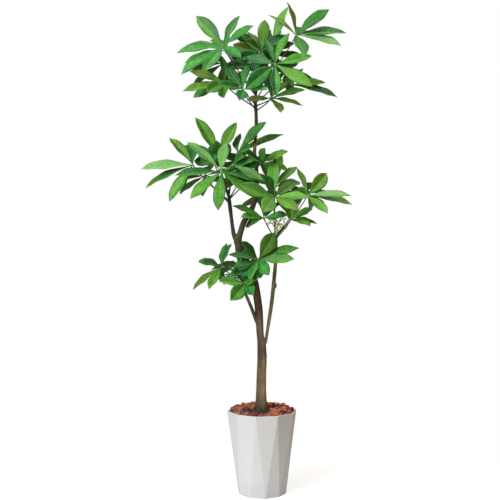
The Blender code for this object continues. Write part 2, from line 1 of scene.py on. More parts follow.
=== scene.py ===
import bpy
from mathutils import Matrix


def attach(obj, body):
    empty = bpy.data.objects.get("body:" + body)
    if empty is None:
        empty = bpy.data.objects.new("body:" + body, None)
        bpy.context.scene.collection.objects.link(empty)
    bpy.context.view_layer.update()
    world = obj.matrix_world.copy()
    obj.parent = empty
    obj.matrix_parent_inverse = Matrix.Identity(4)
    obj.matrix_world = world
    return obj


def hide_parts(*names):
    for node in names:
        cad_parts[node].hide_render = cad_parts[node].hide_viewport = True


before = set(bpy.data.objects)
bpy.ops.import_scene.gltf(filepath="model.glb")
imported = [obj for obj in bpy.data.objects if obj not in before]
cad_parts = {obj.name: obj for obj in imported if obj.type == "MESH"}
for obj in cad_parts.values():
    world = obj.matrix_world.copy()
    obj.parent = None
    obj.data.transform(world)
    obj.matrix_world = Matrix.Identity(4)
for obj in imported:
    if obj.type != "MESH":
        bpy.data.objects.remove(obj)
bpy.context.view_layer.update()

import math
import random
from functools import partialmethod

import bpy
from mathutils import Vector
from mathutils.kdtree import KDTree

# Pot: a thin-walled planter moulded in matt white plastic, with long triangular facets from rim to foot.
# The CAD shape is right as it is, so it takes only its finish: faint clouding, a fine moulded grain,
# and a grey-blue darkening low down that is partly dust and partly painted shade.
MM = 0.001
POT_WHITE = (0.83, 0.83, 0.825)
POT_CLOUD = (0.79, 0.79, 0.785)
POT_DUST_AND_SHADE = (0.58, 0.60, 0.63)
DUST_AND_SHADE_HEIGHT = 110 * MM


class Quantity:
    """A number or vector that a node tree works out; sums and products of numbers add Math nodes."""

    def __init__(self, socket):
        self.socket = socket

    def then(self, operation, *others, clamp=False):
        feeds = dict(enumerate((self, *others)))
        return Quantity(made_by("ShaderNodeMath", feeds, operation=operation, use_clamp=clamp))

    __add__ = __radd__ = partialmethod(then, "ADD")
    __sub__ = partialmethod(then, "SUBTRACT")
    __mul__ = __rmul__ = partialmethod(then, "MULTIPLY")
    __truediv__ = partialmethod(then, "DIVIDE")
    clamped = partialmethod(then, "ADD", 0.0, clamp=True)
    size = partialmethod(then, "ABSOLUTE")

    def __rsub__(self, other):
        return self * -1.0 + other


def feed(node, feeds):
    """Feeds inputs, by name or number, from sockets or with plain values; colours are (red, green, blue)."""
    for key, value in feeds.items():
        socket = node.inputs[key]
        if isinstance(value, Quantity):
            value = value.socket
        if isinstance(value, bpy.types.NodeSocket):
            tree.links.new(value, socket)
        else:
            socket.default_value = (*value, 1) if socket.type == "RGBA" else value


def add_node(kind, feeds=None, **settings):
    """Adds a node to the tree in hand, which is the last one started, and sets and feeds it."""
    made = tree.nodes.new(kind)
    for setting, value in settings.items():
        setattr(made, setting, value)
    feed(made, feeds or {})
    return made


def made_by(kind, feeds=None, **settings):
    return add_node(kind, feeds, **settings).outputs[0]


def new_finish(name, roughness):
    """A material, its node tree, its shader and the place on the piece in metres."""
    made = bpy.data.materials.new(name)
    made.use_nodes = True
    nodes = made.node_tree.nodes
    shader = nodes["Principled BSDF"]
    shader.inputs["Roughness"].default_value = roughness
    return made, made.node_tree, shader, nodes.new("ShaderNodeTexCoord").outputs["Object"]


def vector_sum(operation, first, second=(0, 0, 0)):
    key = "Scale" if operation == "SCALE" else 1
    made = add_node("ShaderNodeVectorMath", {0: first, key: second}, operation=operation)
    return made.outputs["Value" if operation == "LENGTH" else "Vector"]


def noise(place, scale, detail=2.0, stretch=(1, 1, 1), output="Fac"):
    """Cloudy noise of this many blobs a metre, drawn out along the axes by the stretch."""
    stretched = vector_sum("MULTIPLY", place, stretch)
    made = add_node("ShaderNodeTexNoise", {"Vector": stretched, "Scale": scale, "Detail": detail})
    return Quantity(made.outputs[output])


def mixed(share, first, second, how="MIX"):
    """A colour between two others, or one laid on the other."""
    feeds = {0: share, 6: first, 7: second}
    return add_node("ShaderNodeMix", feeds, data_type="RGBA", blend_type=how).outputs[2]


def split(vector):
    return [Quantity(output) for output in add_node("ShaderNodeSeparateXYZ", {0: vector}).outputs]


def relief(height, depth, strength=1.0):
    """Bump from a height, as deep as given."""
    return made_by("ShaderNodeBump", {"Height": height, "Distance": depth, "Strength": strength})


def dress(mesh, finish):
    mesh.materials.clear()
    mesh.materials.append(finish)


pot_finish, tree, shader, place = new_finish("pot_white_moulding", 0.55)
cloud = noise(place, 7, 3)
colour = mixed((cloud * 1.6 - 0.5).clamped(), POT_WHITE, POT_CLOUD)
# Darker and greyer towards the foot: partly dust, partly painted shade.
low = (1 - split(place)[2] / DUST_AND_SHADE_HEIGHT).clamped()
dust_and_shade = low * low * noise(place, 45, 4) * 0.7
feed(shader, {
    "Base Color": mixed(dust_and_shade, colour, POT_DUST_AND_SHADE),
    "Roughness": 0.46 + cloud * 0.14 + dust_and_shade * 0.3,
    "Normal": relief(noise(place, 900, 2) + noise(place, 60, 2) * 2.0, 0.12 * MM, 0.5),
})
dress(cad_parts["pot"].data, pot_finish)

# Soil: dark potting mix that fills the pot below the bark, packed round the trunk's foot.
# It is a CAD piece that the bark hides, and it takes a crumbly brown finish.
SOIL_DARK = (0.02, 0.012, 0.008)
SOIL_PALE = (0.085, 0.052, 0.034)

soil_finish, tree, shader, place = new_finish("soil_crumbs", 0.95)
crumbs = noise(place, 260, 4)
feed(shader, {
    "Base Color": mixed((crumbs * 2.2 - 0.6).clamped(), SOIL_DARK, SOIL_PALE),
    "Normal": relief(crumbs, 1.5 * MM),
})
dress(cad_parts["soil"].data, soil_finish)

# Trunk: one living stem that forks into an upper stem, a left limb, a right branch and a low branch.
# Its thin bark is olive below and browner above, with fine lengthwise ridges, knots and old leaf scars.
# It stands in the soil; the stations are (across, depth, height, radius) in mm.
FOOT_RADIUS = 24.5
FOOT_X = -3
TRUNK = [
    (FOOT_X, 0, 150, FOOT_RADIUS), (FOOT_X, 0, 306, FOOT_RADIUS), (-3, 0, 336, 20.5), (-3, 0, 382, 18.5),
    (-2, 0, 432, 17.8), (0, 0, 484, 17.4), (-1, 1, 534, 16.2),
    (-4.5, 2, 560, 13.8), (-7.3, 3, 586, 13.6), (-9, 3, 623, 14.0), (-12, 4, 671, 14.4),
    (-20, 5, 728, 14.6), (-30, 5, 776, 14.8), (-48, 5, 821, 14.8), (-66, 4, 862, 14.8), (-84, 2, 902, 15.0),
    (-92, 0, 926, 13.0), (-94, 0, 936, 9.0),
]
UPPER_STEM = [
    (-84, 2, 902, 12.0), (-85, 0, 928, 11.5), (-78, -3, 956, 11.0), (-67, -5, 988, 10.6),
    (-51, -7, 1016, 10.2), (-34, -9, 1046, 9.8), (-24, -10, 1084, 8.8), (-19, -11, 1144, 8.0),
    (-22, -12, 1199, 7.2), (-27, -12, 1244, 6.6), (-24, -12, 1298, 6.4), (-21, -10, 1347, 6.4),
    (-22, -8, 1393, 6.2),
]
LEFT_LIMB = [
    (-88, 0, 912, 11.0), (-101, 0, 936, 8.4), (-108, -1, 970, 7.2), (-113, -3, 1010, 6.8),
    (-118, -5, 1051, 7.6),
]
RIGHT_BRANCH = [
    (2, -2, 526, 8.4), (14, -5, 557, 6.4), (19.5, -6, 590, 6.2), (26, -8, 632, 6.8), (35, -12, 693, 7.2),
    (42, -14, 758, 7.4), (48, -15, 827, 7.0), (50, -15, 870, 6.8), (51, -15, 913, 6.4),
]
LOW_BRANCH = [
    (-9, 3, 606, 7.6), (-23, -6, 633, 6.8), (-37, -14, 672, 6.4), (-50, -20, 703, 6.2), (-61, -25, 730, 6.0),
    (-68, -28, 755, 5.6),
]
KNOTS = [(46, -15, 757, 8.4), (2.5, -4, 500, 15.6), (-16, 1, 700, 12.5), (-85, -3, 893, 14.5)]
KNOT_LEVELS = [-0.9, -0.45, 0.0, 0.45, 0.9]
KNOT_LENGTH = 1.4
BARK_CELL = 1.7 * MM
MAIN_BARK = [
    (0.29, (0.036, 0.037, 0.021)), (0.33, (0.180, 0.150, 0.060)), (0.38, (0.370, 0.280, 0.122)),
    (0.47, (0.325, 0.225, 0.122)), (0.515, (0.135, 0.090, 0.056)), (0.60, (0.232, 0.164, 0.074)),
    (0.68, (0.104, 0.072, 0.034)), (0.90, (0.094, 0.064, 0.040)), (0.94, (0.092, 0.104, 0.036)),
    (1.00, (0.092, 0.058, 0.030)), (1.18, (0.110, 0.100, 0.036)), (1.22, (0.420, 0.330, 0.120)),
    (1.29, (0.340, 0.340, 0.110)), (1.33, (0.050, 0.058, 0.018)),
]
BARK_LOW = 0.29
BARK_HIGH = 1.33
BARK_WANDER = 0.05
SCAR_BROWN = (0.040, 0.026, 0.017)
# Bark of a branch: its colour, where it starts across and in height, each with the metres over which it
# sets in (past the start, or before it where negative), and how much of it fades out higher up.
BRANCH_BARKS = [
    ((0.270, 0.240, 0.115), (0.012, 0.008), (0.55, 0.02), 0.6),
    ((0.048, 0.062, 0.022), (-0.094, -0.008), (0.92, 0.03), 0.0),
    ((0.125, 0.120, 0.080), (-0.034, -0.006), (0.775, -0.02), 0.0),
]
FADES_FROM = (0.75, 0.25)
PAINTED_SIDE_LIGHT_BELOW = 0.78
SCARS_FROM = (0.5, 0.3)


def start_tree(title, sizes):
    """A Geometry Nodes tree with named inputs: the tree, its inputs by name, and its way out."""
    made = bpy.data.node_groups.new(title, "GeometryNodeTree")
    kinds = {int: "Int", float: "Float", bpy.types.Material: "Material"}
    for way in ("INPUT", "OUTPUT"):
        made.interface.new_socket("Geometry", in_out=way, socket_type="NodeSocketGeometry")
    for name, value in sizes.items():
        kind = "NodeSocket" + kinds[type(value)]
        made.interface.new_socket(name, in_out="INPUT", socket_type=kind).default_value = value
    return made, made.nodes.new("NodeGroupInput").outputs, made.nodes.new("NodeGroupOutput")


def end_tree(geometry):
    """Ends the tree in hand: makes its instances real, gives them their finish and sends them out."""
    real = made_by("GeometryNodeRealizeInstances", {"Geometry": geometry})
    feed(way_out, {0: made_by("GeometryNodeSetMaterial", {"Geometry": real, "Material": given["Finish"]})})
    return tree


def placed(geometry, **where):
    return made_by("GeometryNodeSetPosition", {"Geometry": geometry, **where})


def smoothed(geometry, smooth=True):
    return made_by("GeometryNodeSetShadeSmooth", {"Geometry": geometry, "Shade Smooth": smooth})


def stored(geometry, name, value, domain="POINT"):
    """Lets a geometry carry a number, or a vector from a socket, under this name."""
    kind = "FLOAT" if isinstance(value, (Quantity, float)) else "FLOAT_VECTOR"
    feeds = {"Geometry": geometry, "Name": name, 3: value}
    return made_by("GeometryNodeStoreNamedAttribute", feeds, data_type=kind, domain=domain)


def recalled(name, kind="FLOAT"):
    return Quantity(made_by("GeometryNodeInputNamedAttribute", {"Name": name}, data_type=kind))


def add_object(name, data):
    made = bpy.data.objects.new(name, data)
    bpy.context.scene.collection.objects.link(made)
    return made


def settled(piece):
    """Turns a piece and its modifiers into a plain mesh."""
    graph = bpy.context.evaluated_depsgraph_get()
    mesh = bpy.data.meshes.new_from_object(
        piece.evaluated_get(graph), preserve_all_data_layers=True, depsgraph=graph
    )
    piece.modifiers.clear()
    old, piece.data = piece.data, mesh
    bpy.data.meshes.remove(old)
    mesh.name = piece.name
    dress(mesh, mesh.materials[-1])
    mesh.polygons.foreach_set("material_index", [0] * len(mesh.polygons))
    return piece


def grown(name, start, kind, sizes):
    """A plain piece that a tree makes from a starting mesh, with its own value for some named inputs."""
    piece = add_object(name, start)
    grower = piece.modifiers.new("grow", "NODES")
    grower.node_group = kind
    for socket in kind.interface.items_tree:
        if socket.in_out == "INPUT" and socket.name in sizes:
            grower[socket.identifier] = sizes[socket.name]
    return settled(piece)


def new_mesh(name, points, edges=(), faces=()):
    mesh = bpy.data.meshes.new(name)
    mesh.from_pydata(points, edges, faces)
    return mesh


def strands(name, lines):
    """Open lines with a radius at each point, as a mesh of edges, from (x, y, z, radius) in mm."""
    points, edges, radii = [], [], []
    for line in lines:
        for k, (x, y, z, radius) in enumerate(line):
            if k:
                edges.append((len(points) - 1, len(points)))
            points.append(Vector((x, y, z)) * MM)
            radii.append(radius * MM)
    mesh = new_mesh(name, points, edges)
    mesh.attributes.new("girth", "FLOAT", "POINT").data.foreach_set("value", radii)
    return mesh


def ramp(share, stops):
    """A colour that changes through the stops as the share goes from 0 to 1."""
    made = add_node("ShaderNodeValToRGB", {"Fac": share})
    bar = made.color_ramp.elements
    bar.remove(bar[1])
    bar[0].position = stops[0][0]
    bar[0].color = (*stops[0][1], 1)
    for position, colour in stops[1:]:
        bar.new(position).color = (*colour, 1)
    return made.outputs["Color"]


def attribute(name, output="Fac"):
    return Quantity(add_node("ShaderNodeAttribute", attribute_name=name).outputs[output])


def shaded(share, colour, shade):
    """A colour made darker by a shade from 0 to 1, as fully as the share says."""
    grey = made_by("ShaderNodeCombineColor", {0: shade, 1: shade, 2: shade})
    return mixed(share, colour, grey, "MULTIPLY")


def past(value, start, over):
    """How far a number is past the start, from 0 to 1 over this much."""
    return ((value - start) / over).clamped()


bark_finish, tree, shader, place = new_finish("bark_thin_olive_brown", 0.8)
across, _, height = split(place)
streaks = noise(place, 190, 4, (1, 1, 0.10))
patches = noise(place, 26, 3, (1, 1, 0.45))
fine = noise(place, 620, 3, (1, 1, 0.35))
span = BARK_HIGH - BARK_LOW
level = (height + (patches - 0.5) * BARK_WANDER - BARK_LOW) / span
colour = ramp(level.clamped(), [((stop - BARK_LOW) / span, shade) for stop, shade in MAIN_BARK])
for bark, aside, above, fade in BRANCH_BARKS:
    branch = past(across, *aside) * past(height, *above)
    colour = mixed(branch * (1 - past(height, *FADES_FROM) * fade), colour, bark)
colour = mixed(((patches - 0.52) * 6.0).clamped() * 0.45, colour, SCAR_BROWN)
# Painted light and shade: low on the trunk, bark facing right is painted lighter and bark facing left darker.
painted_side_light = ((attribute("bark_side") + 0.35) * 1.4).clamped() * 0.85 - 0.55
low_down = ((PAINTED_SIDE_LIGHT_BELOW - height) * 6.0).clamped()
shade = (0.40 + streaks * 0.75 + fine * 0.35).clamped() * (1.0 + painted_side_light * low_down)
feed(shader, {
    "Base Color": shaded(0.9, colour, shade),
    "Roughness": 0.62 + streaks * 0.3,
    "Normal": relief(streaks * 2.0 + fine, 0.8 * MM),
})

tree, given, way_out = start_tree("swept stems", {
    "Point spacing": 4 * MM, "Sides": 24, "Finish": bark_finish,
})
line = made_by("GeometryNodeMeshToCurve", {"Mesh": given["Geometry"]})
curve = made_by("GeometryNodeCurveSplineType", {"Curve": line}, spline_type="CATMULL_ROM")
even = made_by("GeometryNodeResampleCurve", {"Curve": curve, "Length": given["Point spacing"]}, mode="LENGTH")
ring = made_by("GeometryNodeCurvePrimitiveCircle", {"Resolution": given["Sides"], "Radius": 1.0})
stem_tree = end_tree(smoothed(made_by("GeometryNodeCurveToMesh", {
    "Curve": even, "Profile Curve": ring, "Scale": recalled("girth"), "Fill Caps": True,
})))

tree, given, way_out = start_tree("bark relief", {
    "Ridge height": 0.55 * MM, "Scar spacing": 37 * MM, "Scar height": 0.7 * MM, "Finish": bark_finish,
})
spot = made_by("GeometryNodeInputPosition")
outward = made_by("GeometryNodeInputNormal")
rise = split(spot)[2]
ridges = noise(spot, 120, 3, (1, 1, 0.11)) - 0.5
beat = (rise / given["Scar spacing"] + noise(spot, 28, 1) * 1.4).then("FRACT") - 0.5
scars = (1 - beat.size() * 11.0).clamped() * past(rise, *SCARS_FROM)
lift = ridges * 2.0 * given["Ridge height"] + scars * given["Scar height"]
sided = stored(given["Geometry"], "bark_side", split(outward)[0])
bark_tree = end_tree(smoothed(placed(sided, Offset=vector_sum("SCALE", outward, lift))))

knots = [
    [(x, y, z + KNOT_LENGTH * radius * level, radius * math.sqrt(1 - level * level)) for level in KNOT_LEVELS]
    for x, y, z, radius in KNOTS
]
trunk = grown(
    "trunk_wood", strands("trunk_lines", [TRUNK, UPPER_STEM, LEFT_LIMB, RIGHT_BRANCH, LOW_BRANCH, *knots]),
    stem_tree, {"Sides": 28},
)
melt = trunk.modifiers.new("melt together", "REMESH")
melt.mode = "VOXEL"
melt.voxel_size = BARK_CELL
soften = trunk.modifiers.new("soften forks", "SMOOTH")
soften.factor = 0.5
soften.iterations = 7
settled(trunk)
wood = trunk.data.copy()
bpy.data.objects.remove(trunk)
trunk = grown("trunk_wood", wood, bark_tree, {})
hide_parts("trunk")
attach(trunk, "root")

# Bark mulch: a layer of loose red-brown bark chips, 18 to 34 mm long, spread over the soil almost up to
# the rim, a little lower at the trunk and higher behind it. A bed of fine crumbs shows between the chips,
# and the bark is dark in an oval patch in front of the trunk.
POT_SIDES = 10
FACET_TURN = 2 * math.pi / POT_SIDES
POT_TURN = math.radians(-10.6)
MULCH_BASE = 280.4 * MM
MULCH_SLOPE = 0.022
MULCH_REACH = 121.5 * MM
MULCH_FOOT = 0.995
MULCH_PROFILE = [(0.0, 288), (0.22, 290), (0.4, 293), (0.6, 296), (0.8, 297), (0.93, 294.5), (1.0, 291)]
MULCH_SECTORS = 60
CHIP_REACH = 111 * MM
CHIP_DENSITY = 60000
MASK_SHARPNESS = 2000.0
SPLINTER = 2.2 * MM
# The bed's dark tone is partly the crumbs' own colour and partly painted shade in the gaps between chips.
BED_TONE_WITH_GAP_SHADE = 0.02
CHIP_TONES = [
    (0.0, (0.070, 0.016, 0.016)), (0.2, (0.260, 0.055, 0.045)), (0.45, (0.570, 0.142, 0.060)),
    (0.65, (0.750, 0.255, 0.086)), (0.85, (0.820, 0.400, 0.270)), (1.0, (0.420, 0.160, 0.140)),
]
DARKER_ALL_OVER = 0.02
DARKER_RIGHT = 1.3
DARK_PATCH_BARK = (0.030, 0.026, 0.018)
DARK_PATCH_MIDDLE = (-18 * MM, -40 * MM)
DARK_PATCH_REACH = (52 * MM, 50 * MM)


def distance(x, y):
    return (x * x + y * y).then("SQRT")


chip_finish, tree, shader, place = new_finish("bark_chips_red_brown", 0.85)
grain = noise(attribute("chip_place", "Vector"), 9, 4, (0.35, 2.4, 2.4))
mottle = noise(place, 160, 3)
x, y, _ = split(place)
tone = attribute("chip_tone") * 0.9 + mottle * 0.4 - DARKER_ALL_OVER - x * DARKER_RIGHT
# The bark is mixed towards near-black in an oval patch in front of the trunk.
from_dark_patch = distance((x - DARK_PATCH_MIDDLE[0]) / DARK_PATCH_REACH[0], (y - DARK_PATCH_MIDDLE[1]) / DARK_PATCH_REACH[1])
dark_patch = ((1.0 - from_dark_patch + mottle * 0.5) * 3.0).clamped()
colour = mixed(dark_patch * 0.88, ramp(tone.clamped(), CHIP_TONES), DARK_PATCH_BARK)
feed(shader, {
    "Base Color": shaded(0.8, colour, (0.30 + grain * 1.1).clamped()),
    "Roughness": 0.65 + grain * 0.3,
    "Normal": relief(grain * 2.0 + mottle, 1.2 * MM),
})


def mulch_wall(turn):
    """How far the pot's inside reaches in this direction, as a share of its corners' reach."""
    return math.cos(FACET_TURN / 2) / math.cos((turn - POT_TURN) % FACET_TURN - FACET_TURN / 2)


def mulch_bed():
    """A closed bed that fits the pot's inside, hollow at the trunk and heaped behind."""
    points = [Vector((0, 0, MULCH_PROFILE[0][1] * MM)), Vector((0, 0, MULCH_BASE))]
    faces = []
    rings = [(share, height * MM) for share, height in MULCH_PROFILE[1:]] + [(MULCH_FOOT, MULCH_BASE)]
    for share, height in rings:
        for k in range(MULCH_SECTORS):
            turn = 2 * math.pi * k / MULCH_SECTORS
            reach = MULCH_REACH * share * mulch_wall(turn)
            back = -reach * math.cos(turn)
            heap = back * (height > MULCH_BASE) * MULCH_SLOPE
            points.append(Vector((reach * math.sin(turn), back, height + heap)))
    for k in range(MULCH_SECTORS):
        j = (k + 1) % MULCH_SECTORS
        faces.append((0, 2 + k, 2 + j))
        low = 2
        for high in range(low + MULCH_SECTORS, len(points), MULCH_SECTORS):
            faces.append((low + k, high + k, high + j, low + j))
            low = high
        faces.append((1, low + j, low + k))
    return new_mesh("mulch_bed", points, faces=faces)


tree, given, way_out = start_tree("bark mulch", {
    "Chip length": 27 * MM, "Chip width": 14 * MM, "Chip thickness": 5.5 * MM, "Chip spacing": 8.5 * MM,
    "Crumb spacing": 6.5 * MM, "Crumb size": 6 * MM, "Lift": 8 * MM, "Tilt": 0.7, "Seed": 4,
    "Roughness of break": 4 * MM, "Trunk clearance": 27 * MM, "Wall reach": 116.4 * MM, "Finish": chip_finish,
})
spot = made_by("GeometryNodeInputPosition")
x, y, z = split(spot)
up = split(made_by("GeometryNodeInputNormal"))[2]
free = ((distance(x - FOOT_X * MM, y) - given["Trunk clearance"]) * MASK_SHARPNESS).clamped()
free = free * ((up - 0.5) * 100.0).clamped()
off_wall = ((CHIP_REACH - distance(x, y)) * MASK_SHARPNESS).clamped()


def combined(x, y, z):
    return made_by("ShaderNodeCombineXYZ", {0: x, 1: y, 2: z})


def drawn(low, high, seed):
    """A random number or vector for each point or instance."""
    if isinstance(low, tuple):
        feeds = {0: low, 1: high, "Seed": seed}
        return made_by("FunctionNodeRandomValue", feeds, data_type="FLOAT_VECTOR")
    return Quantity(add_node("FunctionNodeRandomValue", {2: low, 3: high, "Seed": seed}).outputs[1])


def strewn(spacing, where, lift, size, cuts, seed):
    """Chips or crumbs of one size, laid over the bed at this spacing, each tilted and turned its own way."""
    seats = made_by("GeometryNodeDistributePointsOnFaces", {
        "Mesh": given["Geometry"], "Distance Min": spacing, "Density Max": CHIP_DENSITY,
        "Density Factor": where, "Seed": Quantity(given["Seed"]) + seed,
    }, distribute_method="POISSON")
    seats = placed(seats, Offset=combined(0.0, 0.0, drawn(0.1, 1.0, seed + 1) * lift))
    counts = {f"Vertices {axis}": count for axis, count in zip("XYZ", cuts)}
    slab = made_by("GeometryNodeMeshCube", {"Size": (1, 1, 1), **counts})
    slab = stored(slab, "chip_place", spot)
    end = (x * 2.0).size()
    taper = 1 - end * end * end * 0.45
    shaped = combined(x * size[0], y * taper * size[1], (z * taper + y * y) * size[2])
    lean = drawn((-1, -1, 0), (1, 1, 0), seed + 2)
    spin = drawn((0, 0, 0), (0, 0, 2 * math.pi), seed + 3)
    laid = made_by("GeometryNodeInstanceOnPoints", {
        "Points": seats,
        "Instance": placed(slab, Position=shaped),
        "Rotation": vector_sum("ADD", vector_sum("SCALE", lean, given["Tilt"]), spin),
        "Scale": drawn((0.65, 0.7, 0.7), (1.25, 1.25, 1.3), seed + 4),
    })
    laid = stored(laid, "chip_tone", drawn(0.0, 1.0, seed + 5), "INSTANCE")
    return smoothed(made_by("GeometryNodeRealizeInstances", {"Geometry": laid}), False)


def joined(*parts):
    made = add_node("GeometryNodeJoinGeometry")
    for part in parts:
        feed(made, {0: part})
    return made.outputs[0]


def broken(size, scale):
    """An offset that wanders by about half this size each way, with this many turns a metre."""
    wander = vector_sum("SUBTRACT", noise(spot, scale, 1, output="Color"), (0.5, 0.5, 0.5))
    return vector_sum("SCALE", wander, size)


chip_size = (given["Chip length"], given["Chip width"], given["Chip thickness"])
chips = strewn(given["Chip spacing"], free * off_wall, given["Lift"], chip_size, (6, 4, 3), 10)
crumb = given["Crumb size"]
crumbs = strewn(given["Crumb spacing"], free, crumb, (crumb,) * 3, (3, 3, 2), 20)
# The bed takes its dark tone, partly painted shade between the chips.
heap = joined(stored(given["Geometry"], "chip_tone", BED_TONE_WITH_GAP_SHADE), chips, crumbs)
heap = placed(heap, Offset=vector_sum("ADD", broken(given["Roughness of break"], 75), broken(SPLINTER, 260)))
bearing = Quantity(made_by("ShaderNodeMath", {0: x, 1: y * -1.0}, operation="ARCTAN2"))
facing = (bearing - POT_TURN + 4 * math.pi).then("MODULO", FACET_TURN) - FACET_TURN / 2
limit = given["Wall reach"] * facing.then("COSINE").then("POWER", -1.0)
keep = (limit / distance(x, y).then("MAXIMUM", 1e-6)).then("MINIMUM", 1.0)
mulch_tree = end_tree(placed(heap, Position=combined(x * keep, y * keep, z.then("MAXIMUM", MULCH_BASE))))
mulch = grown("bark_mulch", mulch_bed(), mulch_tree, {})
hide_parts("bark_chips")
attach(mulch, "root")

# Leaves: each is a star of stalked leaflets on a small hub. A leaflet is thin, folded along its pale rib
# and arched, with a waved edge and side veins pressed into the upper face. Every leaf stands for the CAD
# leaf of its name: the front ones are set out on a front elevation that is drawn from one viewpoint.
VIEWPOINT = Vector((-44, -3000, 887)) * MM
FRONT_FACING = Vector((0, -0.7, 0.7))
WIDTH_SHARE = 0.33
NARROWEST_BLADE = 42 * MM
WIDEST_BLADE = 56 * MM
LEAST_SEEN = 0.2
SHIFTS = [0, 14, -14, 28, -28, 42, -42, 56, -56, 70, -70, 85, -85, 100, -100, 120, -120]
TIP_MATCH = 3.2 * MM
BACK_DROOP = 0.14
BACK_WIDTH = 46 * MM
BACK_TURN_SPREAD = 8
BACK_LENGTH_SPREAD = 0.08
STALK_TURN = 0.45
STALK_BEND = 0.38
HUB_BELOW = 4.3 * MM
HUB_SIZE = 4.6 * MM
SHOOTS = {
    "top": [(-22, -8, 1393, 6.2), (-24, -7, 1420, 5.7), (-23, -5, 1450, 4.8), (-20, -3, 1482, 3.4)],
    "left": [(-118, -5, 1051, 7.2), (-120, -5, 1072, 6.0), (-123, -3, 1098, 3.6)],
    "right": [(51, -15, 913, 6.4), (50, -14, 945, 5.4), (47, -12, 990, 3.4)],
    "low": [(-68, -28, 755, 5.6), (-73, -31, 772, 4.8), (-78, -34, 792, 3.4)],
}
LAST_STALK = 0.97

